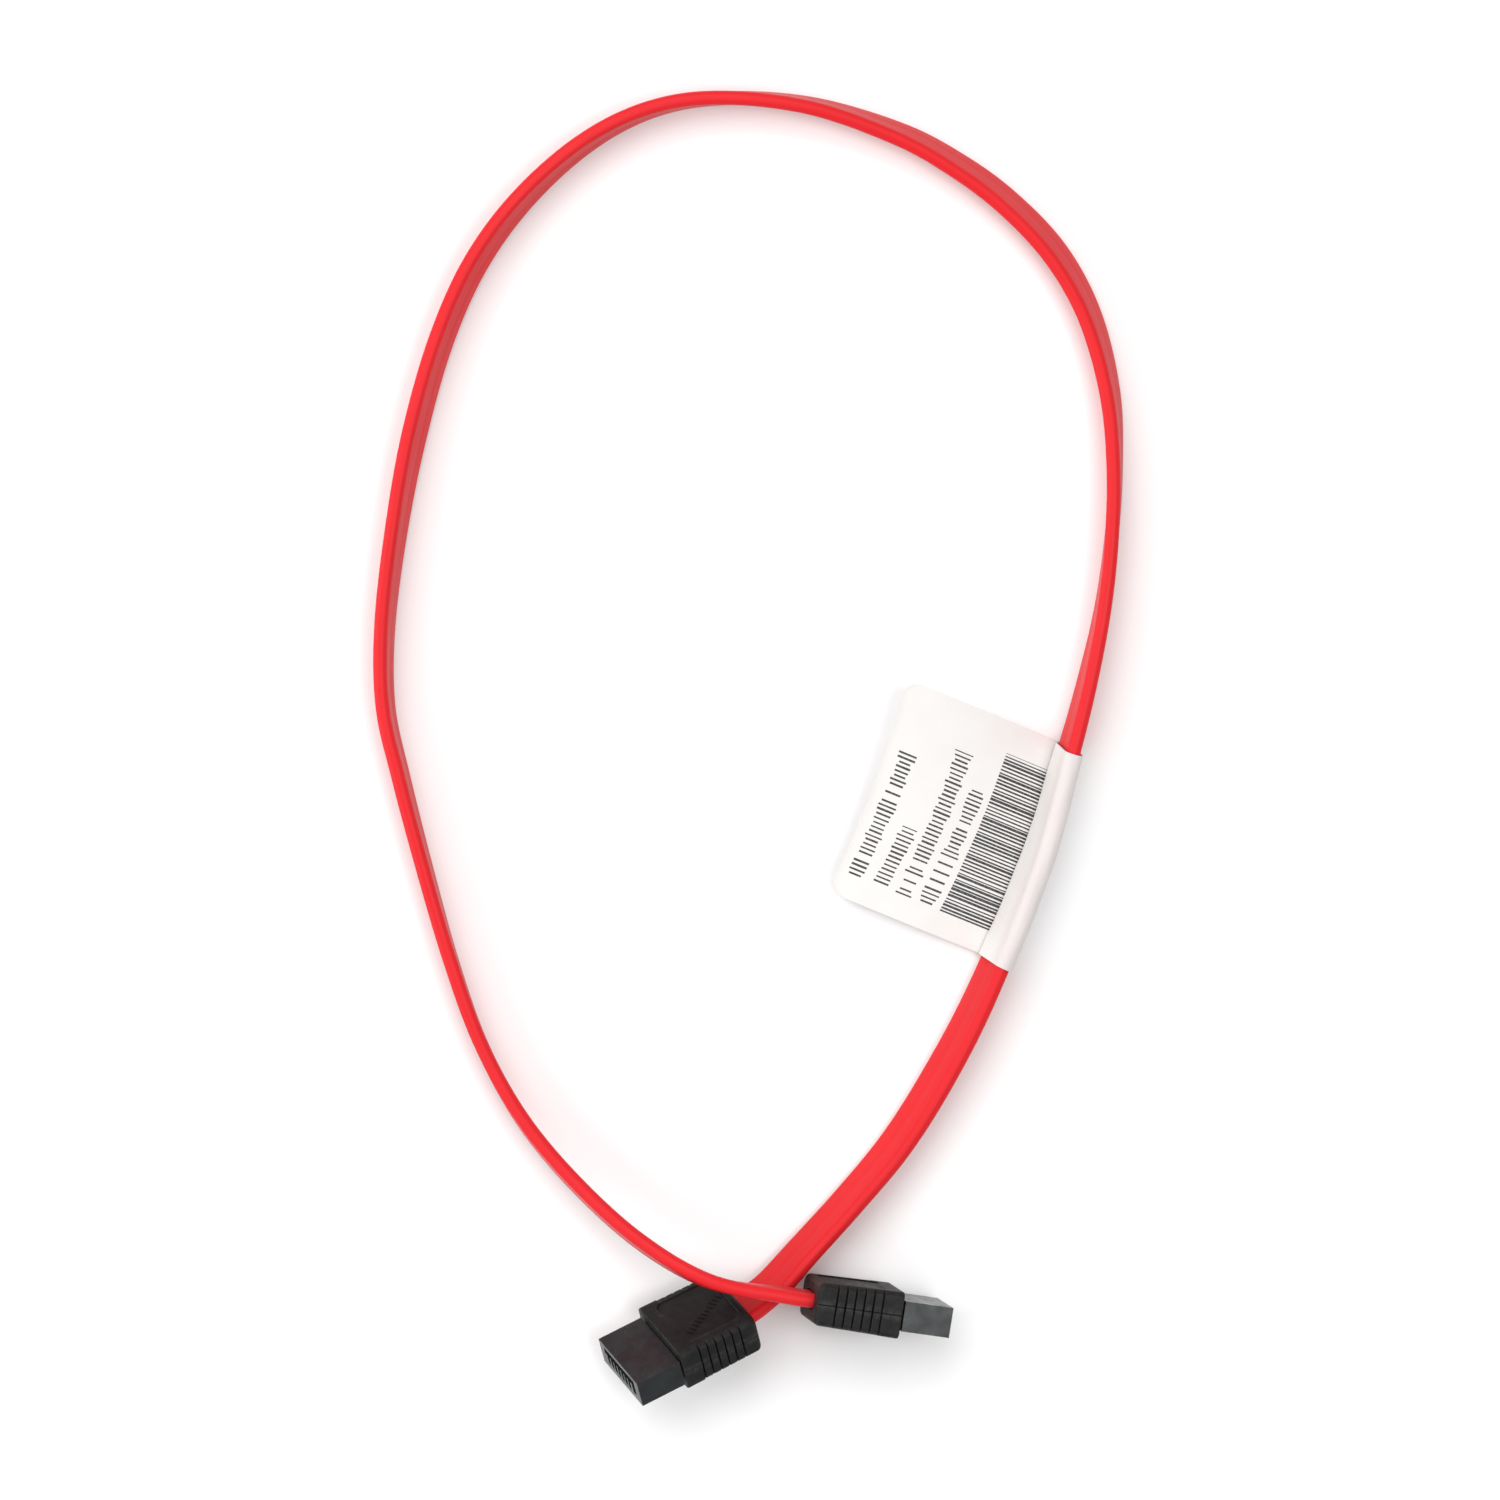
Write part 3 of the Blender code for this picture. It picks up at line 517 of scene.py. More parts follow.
def insulation_material(name, rgb):
    """Smooth wire insulation with faint drawn lines."""
    made, tree, shader, place, _ = start_material(name, 0.4)
    mottle = mottled(tree, place, 300.0, opaque(rgb, 0.9), opaque(rgb, 1.08))
    tree.links.new(mottle, shader.inputs["Base Color"])
    grain = grained(tree, stretch(tree, place, (0.08, 1.0, 1.0)), 9000.0, 1200.0)
    set_bump(tree, shader, grain["Height"], 0.02 * MM, 0.5)
    tree.links.new(calculate(tree, "ADD", grain["Roughness shift"], 0.4, clamp=True), shader.inputs["Roughness"])
    return made


# Rows of ticks on the flag, in millimetres: start and end along the cable, the row's middle from the fold at
# its start, how far that drifts per millimetre, and the ticks' height
PRINT_ROWS = (
    (5.0, 27.8, 25.1, -0.04, 3.3),
    (5.4, 16.0, 20.5, -0.085, 3.3),
    (5.0, 31.6, 16.2, -0.042, 3.4),
    (5.2, 26.8, 12.1, -0.055, 3.2),
)
TICK_PITCH = 0.8

# The block of bars, in millimetres: its start and end along the cable, its edge just over the fold, its other
# edge, which slopes, and the bars' spacing
BAR_START = 4.9
BAR_END = 34.3
BAR_FOLD = -0.45
BAR_REACH = 9.65
BAR_SLOPE = -0.044
BAR_PITCH = 0.6


def paper_material(label):
    """White paper with fibres, a printed block of bars and rows of ticks on its upper side."""
    made, tree, shader, place, edge = start_material("label paper", 0.55)
    mottle = mottled(tree, place, 120.0, opaque(label.paper, 0.975), opaque(label.paper, 1.02))
    sides = add_node(tree, "ShaderNodeSeparateXYZ", {"Vector": place}).outputs
    along = product(tree, sides[0], 1 / MM)
    reach = product(tree, sides[1], 1 / MM)
    # Paper over the cable lets a little red through, and the tint's spread is also painted shade:
    # it is strong over the well-lit upper edge and weak on the dimmer inner side, which evens their brightness.
    round_cable = calculate(tree, "LESS_THAN", reach, -0.02)
    tint_and_shade = product(tree, round_cable, remap(tree, reach, -10.0, -6.0, 0.68, 0.15))
    tinted_and_shaded = mixed(tree, tint_and_shade, mottle, RED_TINT_AND_SHADE)
    turn = product(tree, along, 1 / BAR_PITCH)
    cell = calculate(tree, "FLOOR", turn)
    chance = add_node(tree, "ShaderNodeTexWhiteNoise", {"W": cell}, noise_dimensions="1D").outputs["Value"]
    bars = calculate(tree, "LESS_THAN", calculate(tree, "FRACT", turn), remap(tree, chance, 0.0, 1.0, 0.35, 0.85))
    limit = calculate(tree, "MULTIPLY_ADD", along, BAR_SLOPE, BAR_REACH)
    block = product(tree, inside(tree, along, BAR_START, BAR_END), inside(tree, reach, BAR_FOLD, limit))
    ink = product(tree, bars, block)
    for number, (start, end, middle, slope, height) in enumerate(PRINT_ROWS):
        row = use_group(tree, tick_row(), {
            "Along": along,
            "Reach": reach,
            "Start": start,
            "End": end,
            "Middle": middle,
            "Slope": slope,
            "Height": height,
            "Seed": 31.0 * number,
        })["Mask"]
        ink = calculate(tree, "MAXIMUM", ink, row)
    upper = calculate(tree, "GREATER_THAN", sides[2], 0.98)
    patchy = remap(tree, noise_value(tree, place, 2200.0, 2.0), 0.3, 0.6, 0.9, 1.0)
    ink = product(tree, ink, product(tree, upper, patchy))
    printed = mixed(tree, ink, tinted_and_shaded, opaque(label.ink))
    folded = product(tree, calculate(tree, "MAXIMUM", edge, 0.0), 0.16)
    tree.links.new(mixed(tree, folded, printed, WORN_PAPER), shader.inputs["Base Color"])
    fibres = noise_value(tree, stretch(tree, place, (1.0, 0.45, 1.0)), 5200.0, 4.0, 0.65)
    soft = noise_value(tree, place, 260.0, 2.0, 0.5)
    set_bump(tree, shader, calculate(tree, "MULTIPLY_ADD", soft, 0.8, fibres), 0.04 * MM, 0.5)
    tree.links.new(remap(tree, fibres, 0.3, 0.7, 0.5, 0.64), shader.inputs["Roughness"])
    return made


def floor_material(pale):
    made, tree, shader, place, _ = start_material("pale floor", 0.8, specular=0.2)
    tree.links.new(mottled(tree, place, 3.0, opaque(pale, 0.99), opaque(pale, 1.01)), shader.inputs["Base Color"])
    return made


# Mesh helpers


def set_values(mesh, name, values, kind="FLOAT_VECTOR"):
    """Stores one value for each point of a mesh, for its material to read."""
    attribute = mesh.attributes.new(name, kind, "POINT")
    if kind == "FLOAT_VECTOR":
        attribute.data.foreach_set("vector", [c for value in values for c in value])
    else:
        attribute.data.foreach_set("value", values)


def mark_edges(mesh, low=8.0, high=32.0):
    """Stores how sharp the surface turns at each point: up to 1 on an outer corner, down to -1 in an inner one.

    A turn of low degrees counts as 0, and one of high degrees or more as 1.
    """
    work = bmesh.new()
    work.from_mesh(mesh)
    values = []
    for vertex in work.verts:
        turns = [e.calc_face_angle_signed(0.0) for e in vertex.link_edges if len(e.link_faces) == 2]
        turn = math.degrees(max(turns, key=abs, default=0.0))
        sharp = min(1.0, max(0.0, (abs(turn) - low) / (high - low)))
        values.append(math.copysign(sharp, turn))
    work.free()
    set_values(mesh, "edge", values, "FLOAT")


def new_piece(name, points, faces, material=None, matrix=None, places=None):
    """A mesh object with outward faces, its places stored for the material."""
    mesh = bpy.data.meshes.new(name)
    mesh.from_pydata(points, [], faces)
    work = bmesh.new()
    work.from_mesh(mesh)
    bmesh.ops.recalc_face_normals(work, faces=work.faces)
    work.to_mesh(mesh)
    work.free()
    mesh.shade_smooth()
    set_values(mesh, "place", places or points)
    mark_edges(mesh)
    made = bpy.data.objects.new(name, mesh)
    bpy.context.scene.collection.objects.link(made)
    if material:
        mesh.materials.append(material)
    if matrix:
        mesh.transform(matrix)
    return made


def even_normals(piece, angle=30.0):
    """Flat faces shade flat and their rounded edges shade smooth."""
    modifier = piece.modifiers.new("even normals", "WEIGHTED_NORMAL")
    modifier.keep_sharp = True
    piece.data.set_sharp_from_angle(angle=math.radians(angle))


def settle(piece):
    """Makes the modifiers' result the piece's own mesh."""
    graph = bpy.context.evaluated_depsgraph_get()
    mesh = bpy.data.meshes.new_from_object(piece.evaluated_get(graph))
    piece.modifiers.clear()
    piece.data = mesh


def finish_piece(piece, node):
    """The piece rides with the part and stands for its node, which is hidden."""
    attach(piece, "root")
    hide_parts(node)


def walls(first, count, rings):
    """Quads that join each ring of points to the next one."""
    faces = []
    for ring in range(rings - 1):
        a = first + ring * count
        b = a + count
        for i in range(count):
            j = (i + 1) % count
            faces.append((a + i, a + j, b + j, b + i))
    return faces


def solid_loft(rings):
    """Points and faces of a closed body through rings with one number of points."""
    count = len(rings[0])
    points = [p for ring in rings for p in ring]
    last = (len(rings) - 1) * count
    faces = walls(0, count, len(rings))
    faces.append(tuple(range(count)))
    faces.append(tuple(range(last, last + count)))
    return points, faces


def hollow_loft(outer, inner):
    """Points and faces of a tube with an outer and an inner ring at each station."""
    count = len(outer[0])
    rings = len(outer)
    points = [p for ring in outer for p in ring] + [p for ring in inner for p in ring]
    shift = rings * count
    faces = walls(0, count, rings) + walls(shift, count, rings)
    for start in (0, (rings - 1) * count):
        for i in range(count):
            j = (i + 1) % count
            faces.append((start + i, start + j, shift + start + j, shift + start + i))
    return points, faces


def rounded_section(width, thick, radius, cuts, corner_steps):
    """(u, v) points round a rounded rectangle: u through the thickness, v across the width."""
    half_u = thick / 2 - radius
    half_v = width / 2 - radius
    corners = ((half_u, half_v, 0), (-half_u, half_v, 90), (-half_u, -half_v, 180), (half_u, -half_v, 270))
    section = []
    for number, (cu, cv, start) in enumerate(corners):
        for step in range(corner_steps):
            angle = math.radians(start + 90 * step / (corner_steps - 1))
            section.append((cu + radius * math.cos(angle), cv + radius * math.sin(angle)))
        if number % 2 == 1:
            side = -1 if number == 1 else 1
            for i in range(1, cuts):
                section.append((side * thick / 2, -side * half_v * (1 - 2 * i / cuts)))
    return section


def round_section(radius, count):
    turns = [2 * math.pi * (i + 0.5) / count for i in range(count)]
    return [(radius * math.cos(t), radius * math.sin(t)) for t in turns]


def box(low, high):
    """Points and faces of a box between two corners."""
    x, y, z = zip(low, high)
    points = [(x[i & 1], y[i >> 1 & 1], z[i >> 2 & 1]) for i in range(8)]
    faces = [(0, 2, 3, 1), (4, 5, 7, 6), (0, 1, 5, 4), (2, 6, 7, 3), (0, 4, 6, 2), (1, 3, 7, 5)]
    return points, faces


def joined(shapes):
    """Several separate shapes as one list of points and one of faces."""
    points = []
    faces = []
    for more_points, more_faces in shapes:
        shift = len(points)
        points += more_points
        faces += [tuple(i + shift for i in face) for face in more_faces]
    return points, faces


def in_mm(points):
    return [Vector(p) * MM for p in points]


def carve(body, *cutters):
    """Takes the cutters' shapes out of the body for good."""
    for cutter in cutters:
        modifier = body.modifiers.new("cut", "BOOLEAN")
        modifier.operation = "DIFFERENCE"
        modifier.solver = "EXACT"
        modifier.object = cutter
    settle(body)
    for cutter in cutters:
        bpy.data.objects.remove(cutter, do_unlink=True)


# The cable's route


def pose_matrix(letter):
    """Columns are the nose's direction, the width and the thickness."""
    rear, heading, rise, turn = CONNECTORS[letter]
    heading, rise, turn = (math.radians(a) for a in (heading, rise, turn))
    forward = Vector((math.cos(heading) * math.cos(rise), math.sin(heading) * math.cos(rise), math.sin(rise)))
    level = Vector((0, 0, 1)).cross(forward).normalized()
    upward = forward.cross(level)
    across = level * math.cos(turn) + upward * math.sin(turn)
    normal = forward.cross(across)
    matrix = Matrix((forward, across, normal)).transposed().to_4x4()
    return Matrix.Translation(Vector(rear) - ORIGIN) @ matrix


# The cable's lowest edge over the table, its depth in each connector, and its straight lead behind each one
TABLE_GAP = 0.04 * MM
CABLE_DEPTH = 1.5 * MM
LEAD_A = 1.0 * MM
LEAD_B = 4.0 * MM


def rest_height(cable, lean):
    """Height of the section's centre when its lowest corner touches the table."""
    angle = math.radians(abs(lean))
    across = (cable.width / 2 - cable.corner) * math.cos(angle)
    through = (cable.thick / 2 - cable.corner) * math.sin(angle)
    return cable.corner + across + through + TABLE_GAP


def route_points(cable):
    """Centre and wide direction at each point of the route, from connector A to connector B."""
    pose_a = pose_matrix("a")
    pose_b = pose_matrix("b")
    wide_a = pose_a.to_3x3() @ Vector((0, 1, 0))
    wide_b = pose_b.to_3x3() @ Vector((0, 1, 0))
    centres = [pose_a @ Vector((CABLE_DEPTH, 0, 0)), pose_a @ Vector((-LEAD_A, 0, 0))]
    for x, y, lean, lift in ROUTE:
        centres.append(Vector((x, y, rest_height(cable, lean) + lift)) - ORIGIN)
    centres += [pose_b @ Vector((-LEAD_B, 0, 0)), pose_b @ Vector((CABLE_DEPTH, 0, 0))]
    wides = [wide_a, wide_a]
    for i, point in enumerate(ROUTE):
        travel = centres[i + 3] - centres[i + 1]
        right = travel.cross(Vector((0, 0, 1))).normalized()
        upward = right.cross(travel).normalized()
        angle = math.radians(point[2])
        wides.append(upward * math.cos(angle) + right * math.sin(angle))
    wides += [wide_b, wide_b]
    return centres, wides


def smooth(values, span, t):
    """A Catmull-Rom curve through the values, at fraction t of one span."""
    last = len(values) - 1
    b = values[span]
    c = values[span + 1]
    a = values[span - 1] if span > 0 else b * 2 - c
    d = values[span + 2] if span + 2 <= last else c * 2 - b
    rest = 1 - t
    return (
        b * ((1 + 2 * t) * rest * rest)
        + c * (t * t * (3 - 2 * t))
        + (c - a) / 2 * (t * rest * rest)
        - (d - b) / 2 * (t * t * rest)
    )


def cable_stations(cable, step, first=0.0, last=None):
    """(centre, through, wide, along) at even steps along the route, from connector A to connector B."""
    centres, wides = route_points(cable)
    places = []
    for span in range(len(centres) - 1):
        for i in range(SPAN_STEPS):
            t = i / SPAN_STEPS
            places.append((smooth(centres, span, t), smooth(wides, span, t)))
    places.append((centres[-1], wides[-1]))
    run = [0.0]
    for (here, _), (there, _) in zip(places, places[1:]):
        run.append(run[-1] + (there - here).length)
    last = run[-1] if last is None else last
    count = max(1, round((last - first) / step))
    stations = []
    i = 1
    for number in range(count + 1):
        goal = first + (last - first) * number / count
        while i < len(run) - 1 and run[i] < goal:
            i += 1
        t = (goal - run[i - 1]) / (run[i] - run[i - 1])
        centre = places[i - 1][0].lerp(places[i][0], t)
        wide = places[i - 1][1].lerp(places[i][1], t)
        travel = (places[min(i + 1, len(places) - 1)][0] - places[max(i - 2, 0)][0]).normalized()
        wide = (wide - travel * wide.dot(travel)).normalized()
        stations.append((centre, travel.cross(wide), wide, goal))
    return stations


def ring_at(station, section, offset=0.0):
    centre, through, wide = station[:3]
    return [centre + through * u + wide * (v + offset) for u, v in section]


def ring_places(station, section, offset=0.0):
    """Distance along the cable, across it and through it, for the material."""
    return [(station[3], v + offset, u) for u, v in section]


def swept_tube(name, stations, outer, inner, material, offset=0.0):
    """A hollow run of the cable, between an outer and an inner section."""
    rings = [[ring_at(s, section, offset) for s in stations] for section in (outer, inner)]
    places = [p for section in (outer, inner) for s in stations for p in ring_places(s, section, offset)]
    return new_piece(name, *hollow_loft(*rings), material, places=places)


# Operators


class CABLE_OT_stage(bpy.types.Operator):
    """Makes the pale floor, the soft lights and the camera over the loop"""

    bl_idname = "cable.stage"
    bl_label = "Stage"

    # Soft lights: name, place, width and power
    LIGHTS = (
        ("key", (-0.45, 0.9, 1.6), 1.6, 19.5),
        ("overhead", (0.5, -0.1, 1.6), 0.75, 10.0),
        ("side", (-1.4, 0.0, 0.75), 1.2, 12.0),
        ("fill", (0.7, -1.1, 1.2), 1.0, 1.5),
    )
    AMBIENT = 0.45
    SENSOR = 36.0
    FARTHEST = 20.0

    def execute(self, context):
        stage = context.scene.stage_sizes
        half = stage.floor / 2
        points = [(-half, -half, 0), (half, -half, 0), (half, half, 0), (-half, half, 0)]
        floor = new_piece("floor", points, [(0, 1, 2, 3)], floor_material(stage.pale))

        camera = bpy.data.objects.new("camera", bpy.data.cameras.new("camera"))
        context.scene.collection.objects.link(camera)
        camera.location = Vector((0, 0, stage.height)) - ORIGIN
        camera.data.sensor_width = self.SENSOR
        camera.data.lens = self.SENSOR * stage.height / stage.field
        camera.data.clip_end = self.FARTHEST
        context.scene.camera = camera

        for name, place, size, power in self.LIGHTS:
            lamp = bpy.data.lights.new(name, "AREA")
            lamp.shape = "DISK"
            lamp.size = size
            lamp.energy = power
            made = bpy.data.objects.new(name, lamp)
            made.location = place
            made.rotation_mode = "QUATERNION"
            made.rotation_quaternion = Vector(place).to_track_quat("Z", "Y")
            context.scene.collection.objects.link(made)

        world = bpy.data.worlds.new("studio")
        context.scene.world = world
        world.use_nodes = True
        background = world.node_tree.nodes["Background"].inputs
        background["Color"].default_value = opaque((1.0, 1.0, 1.0))
        background["Strength"].default_value = self.AMBIENT
        context.scene.view_settings.view_transform = "Standard"
        return {"FINISHED"}


class CABLE_OT_jacket(bpy.types.Operator):
    """Sweeps the red jacket along the route between the two connectors"""

    bl_idname = "cable.jacket"
    bl_label = "Jacket"

    FEWEST_SECTIONS = 40
    DIP_REACH = 1.1 * MM
    CAVITY_CORNER = 0.6 * MM
    # Cuts along each wide side, and points round each corner
    CUTS = (10, 8)

    def execute(self, context):
        cable = context.scene.cable_sizes
        stations = cable_stations(cable, cable.step)
        if len(stations) < self.FEWEST_SECTIONS:
            raise RuntimeError("the jacket has too few sections")
        outer = []
        for u, v in rounded_section(cable.width, cable.thick, cable.rounding, *self.CUTS):
            hollow = max(0.0, 1 - abs(v) / self.DIP_REACH)
            outer.append((u - math.copysign(cable.dip * hollow * hollow, u), v))
        inner = rounded_section(cable.cavity_width, cable.cavity_thick, self.CAVITY_CORNER, *self.CUTS)
        jacket = swept_tube("jacket", stations, outer, inner, jacket_material(cable))
        finish_piece(jacket, "cable_jacket")
        return {"FINISHED"}


class CABLE_OT_cores(bpy.types.Operator):
    """Sweeps the foils, the signal wires and the drain wires inside the jacket"""

    bl_idname = "cable.cores"
    bl_label = "Foils and wires"

    FOIL_WALL = 0.1 * MM
    # Outer and inner corner radius of a foil
    FOIL_CORNERS = (0.5 * MM, 0.45 * MM)
    # Radius of the bare tip, and number of sides
    SIGNAL_TIP = (0.2 * MM, 12)
    DRAIN_TIP = (0.135 * MM, 8)
    # Distance from the middle at which an inner drain wire ends
    INNER_DRAIN = 0.18 * MM
    # Where the wires' ends at connector B start to be counted along the cable, for the material, in millimetres
    RUN = 540.0

    def build_wire(self, name, stations, offset, target, radius, tip_radius, sides, material):
        """One wire, offset from the cable's middle, that spreads to its target place in each connector."""
        body = round_section(radius, sides)
        tip = round_section(tip_radius, sides)
        ends = []
        for letter, reverse in (("a", True), ("b", False)):
            pose = pose_matrix(letter)
            turn = pose.to_3x3()
            through = turn @ Vector((0, 0, -1 if reverse else 1))
            wide = turn @ Vector((0, 1, 0))
            part = []
            for forward, across, down, bare in WIRE_FAN:
                place = offset + (target - offset) * across
                centre = pose @ Vector((forward * MM, place, WIRE_DROP * down))
                along = (-forward if reverse else self.RUN + forward) * MM
                section = tip if bare else body
                station = (centre, through, wide, along)
                part.append((ring_at(station, section), ring_places(station, section)))
            ends.append(part)
        run = [(ring_at(s, body, offset), ring_places(s, body, offset)) for s in stations]
        parts = ends[0] + run + ends[1][::-1]
        points, faces = solid_loft([p[0] for p in parts])
        places = [place for p in parts for place in p[1]]
        return new_piece(name, points, faces, material, places=places)

    def execute(self, context):
        cable, connector = piece_sizes(context)[:2]
        stations = cable_stations(cable, 2 * cable.step)
        foil_metal = metal_material("shield foil", (0.80, 0.81, 0.83), 0.28, 3000.0, 0.05 * MM)
        tinned = metal_material("tinned copper", (0.70, 0.70, 0.72), 0.34, 6000.0, 0.02 * MM)
        tones = (("natural insulation", (0.78, 0.76, 0.70)), ("blue insulation", (0.08, 0.14, 0.55)))
        insulation = [insulation_material(*tone) for tone in tones]
        walls_off = (0.0, 2 * self.FOIL_WALL)
        sections = [
            rounded_section(cable.foil_width - off, cable.foil_thick - off, corner, 4, 4)
            for off, corner in zip(walls_off, self.FOIL_CORNERS)
        ]
        number = 0
        for side, pair in ((-1, "a"), (1, "b")):
            shift = side * cable.pair_offset
            foil = swept_tube(f"foil_{pair}", stations, *sections, foil_metal, shift)
            finish_piece(foil, f"foil_shield_{pair}")
            for part in (-1, 1):
                offset = shift + part * cable.wire_offset
                contact = round(offset / connector.contact_pitch) * connector.contact_pitch
                colour_of = number % 2
                number += 1
                sizes = (cable.wire_radius, *self.SIGNAL_TIP)
                wire = self.build_wire(f"wire_{number}", stations, offset, contact, *sizes, insulation[colour_of])
                finish_piece(wire, f"signal_wire_{number}")
            for part in (-1, 1):
                offset = shift + part * cable.drain_offset
                outside = part == side
                contact = side * (3 * connector.contact_pitch if outside else self.INNER_DRAIN)
                place = "outer" if outside else "inner"
                sizes = (cable.drain_radius, *self.DRAIN_TIP)
                wire = self.build_wire(f"drain_{pair}_{place}", stations, offset, contact, *sizes, tinned)
                finish_piece(wire, f"drain_wire_{pair}_{place}")
        return {"FINISHED"}


def ramp_between(value, low, high):
    """0 below low, 1 above high, and a smooth step between them."""
    t = min(1.0, max(0.0, (value - low) / (high - low)))
    return t * t * (3 - 2 * t)


class CABLE_OT_moulds(bpy.types.Operator):
    """Builds the soft overmould of each connector, with its finger grooves, panels and rear opening"""

    bl_idname = "cable.moulds"
    bl_label = "Overmoulds"

    # Places of the outline's points: across a narrow side, and along a wide face, in millimetres
    SIDE_PLACES = (-2.75, -2.6, -1.3, -0.12, 0.0, 0.12, 1.3, 2.6, 2.75)
    EDGE_PLACES = (4.9, 5.1, 5.3, 5.5, 5.7, 5.9, 6.1, 6.22, 6.34, 6.46)
    FACE_PLACES = (*(-p for p in reversed(EDGE_PLACES)), -3.2, -1.6, 0.0, 1.6, 3.2, *EDGE_PLACES)
    CORNER_STEPS = 7
    # How round an outer corner is, from 0 for a plain slope to 1 for an arc
    ROUNDNESS = 0.75
    # A corner's reach over a narrow side and over a wide face, and how much it grows along the ribs
    CUT_W = (0.85, 0.35)
    CUT_N = (0.75, 0.15)
    # Half lengths that the straight places need on a narrow side and on a wide face, outside and inside
    OUTER_ROOM = (2.76, 6.5)
    INNER_ROOM = (2.8, 6.5)
    # Half width, half thickness and corner radius of the cable's opening, and of the pocket that starts behind it
    HOLE = (4.3, 1.5, 1.05)
    POCKET = (5.7, 2.3, 0.4)
    POCKET_START = 1.8
    LIP = 0.1
    COLLAR = 0.35
    # Length and depth of the rounding at the rear and at the front
    REAR_ROUND = (0.95, 0.85)
    FRONT_ROUND = (0.3, 0.22)
    # Where the outline is set: from the rear, from the front, in a row at each end of the panel, and by each groove
    REAR_CUTS = (0.0, 0.04, 0.12, 0.25, 0.42, 0.65, 0.95, 13.2)
    FRONT_CUTS = (0.3, 0.16, 0.06, 0.0)
    PANEL_CUTS = [round(start + 0.12 * i, 4) for start in (1.3, 10.9) for i in range(12)]
    GROOVE_CUTS = (-0.5, -0.26, -0.18, -0.09, 0.0, 0.09, 0.18, 0.26, 0.5)
    # Half width of a groove at its floor and at its mouth
    GROOVE_WALL = (0.06, 0.19)
    # The ribs' fade before the first groove, and from just before the last one to just behind it
    RIBS_IN = 0.3
    RIBS_OUT = (-0.1, 0.25)
    # The ribs' swell, the half thickness that it is spread over, and the seam's depth
    SWELL = 0.07
    SWELL_HALF = 3.2
    SEAM = 0.1
    # The panel's middle along the mould, its half sizes without the corner, and its corner's radius
    PANEL_MIDDLE = 6.86
    PANEL_HALF = (3.94, 4.94)
    PANEL_CORNER = 1.4
    # Length of the panel's edge, how much longer it gets at most, and where it does so: over the face towards
    # one narrow side, and along the front
    PANEL_EDGE = 0.1
    PANEL_FADE = 1.2
    SIDE_FADE = (3.0, 6.0)
    FRONT_FADE_X = (8.5, 10.5)
    FRONT_FADE_W = (-4.6, -0.5)
    # The ticks on one panel: their number, the first one's place, the step to the next, and the slant in degrees
    TICKS = 11
    TICK_PLACE = (10.4, 3.6)
    TICK_STEP = (-0.8, -0.51)
    TICK_SLANT = 32.5
    # A tick's half width, half length, what chance adds to that, foot and top, and its painted-shade edge value
    TICK_HALF = (0.14, 0.45)
    TICK_CHANCE = 0.3
    TICK_FOOT = -0.1
    TICK_TOP = 0.06
    TICK_EDGE = -0.7

    def plain(self, side, place):
        return 0.0

    def outline(self, x, half_w, half_n, cut_w, cut_n, shape, round_share, squeeze, notch=0.0):
        """One ring of (x, w, n) points: w across the wide face and n through the thickness.

        shape(side, place) gives how far a point on a side stands out, squeeze draws the straight places together,
        and notch is the depth of a groove, which fades out round the corner.
        """
        ring = []
        straight_n = [p * squeeze[0] for p in self.SIDE_PLACES]
        straight_w = [p * squeeze[1] for p in self.FACE_PLACES]
        for quarter in range(4):
            sign_w = (1, -1, -1, 1)[quarter]
            sign_n = (1, 1, -1, -1)[quarter]
            corner = []
            for step in range(self.CORNER_STEPS):
                t = step / (self.CORNER_STEPS - 1)
                arc_w = math.cos(t * math.pi / 2)
                arc_n = math.sin(t * math.pi / 2)
                w = half_w - notch * (1 - t) - cut_w + cut_w * ((1 - round_share) * (1 - t) + round_share * arc_w)
                n = half_n - cut_n + cut_n * ((1 - round_share) * t + round_share * arc_n)
                corner.append((x, sign_w * w, sign_n * n))
            if quarter in (1, 3):
                corner.reverse()
            if quarter in (0, 2):
                for p in straight_n if quarter == 0 else reversed(straight_n):
                    out = half_w + shape("side", p)
                    ring.append((x, sign_w * out, p))
                ring += corner
            else:
                for p in reversed(straight_w) if quarter == 1 else straight_w:
                    out = half_n + shape("face", p)
                    ring.append((x, p, sign_n * out))
                ring += corner
        return ring

    def opening(self, x, half_w, half_n, corner):
        """One ring of the room inside."""
        squeeze = ((half_n - corner) / self.INNER_ROOM[0], (half_w - corner) / self.INNER_ROOM[1])
        return self.outline(x, half_w, half_n, corner, corner, self.plain, 1.0, squeeze)

    def end_inset(self, distance, sizes):
        """How far a rounded end draws the outline in, at a distance from that end."""
        reach, depth = sizes
        share = max(0.0, 1 - distance / reach)
        return depth * (1 - math.sqrt(max(0.0, 1 - share * share)))

    def ticks(self, connector, length, panel_depth):
        """Low moulded ticks in a slanted row on one panel."""
        dice = random.Random(5)
        floor = connector.rear_thick / MM / 2 - panel_depth
        taper = (connector.front_thick - connector.rear_thick) / MM / 2
        turn = Matrix.Rotation(math.radians(self.TICK_SLANT), 3, "Z")
        found = []
        for i in range(self.TICKS):
            x, w = (first + step * i for first, step in zip(self.TICK_PLACE, self.TICK_STEP))
            middle = Vector((x, w, floor + taper * x / length))
            wide, long = self.TICK_HALF
            long += self.TICK_CHANCE * dice.random()
            points, faces = box((-wide, -long, self.TICK_FOOT), (wide, long, self.TICK_TOP))
            found.append(([middle + turn @ Vector(p) for p in points], faces))
        return found

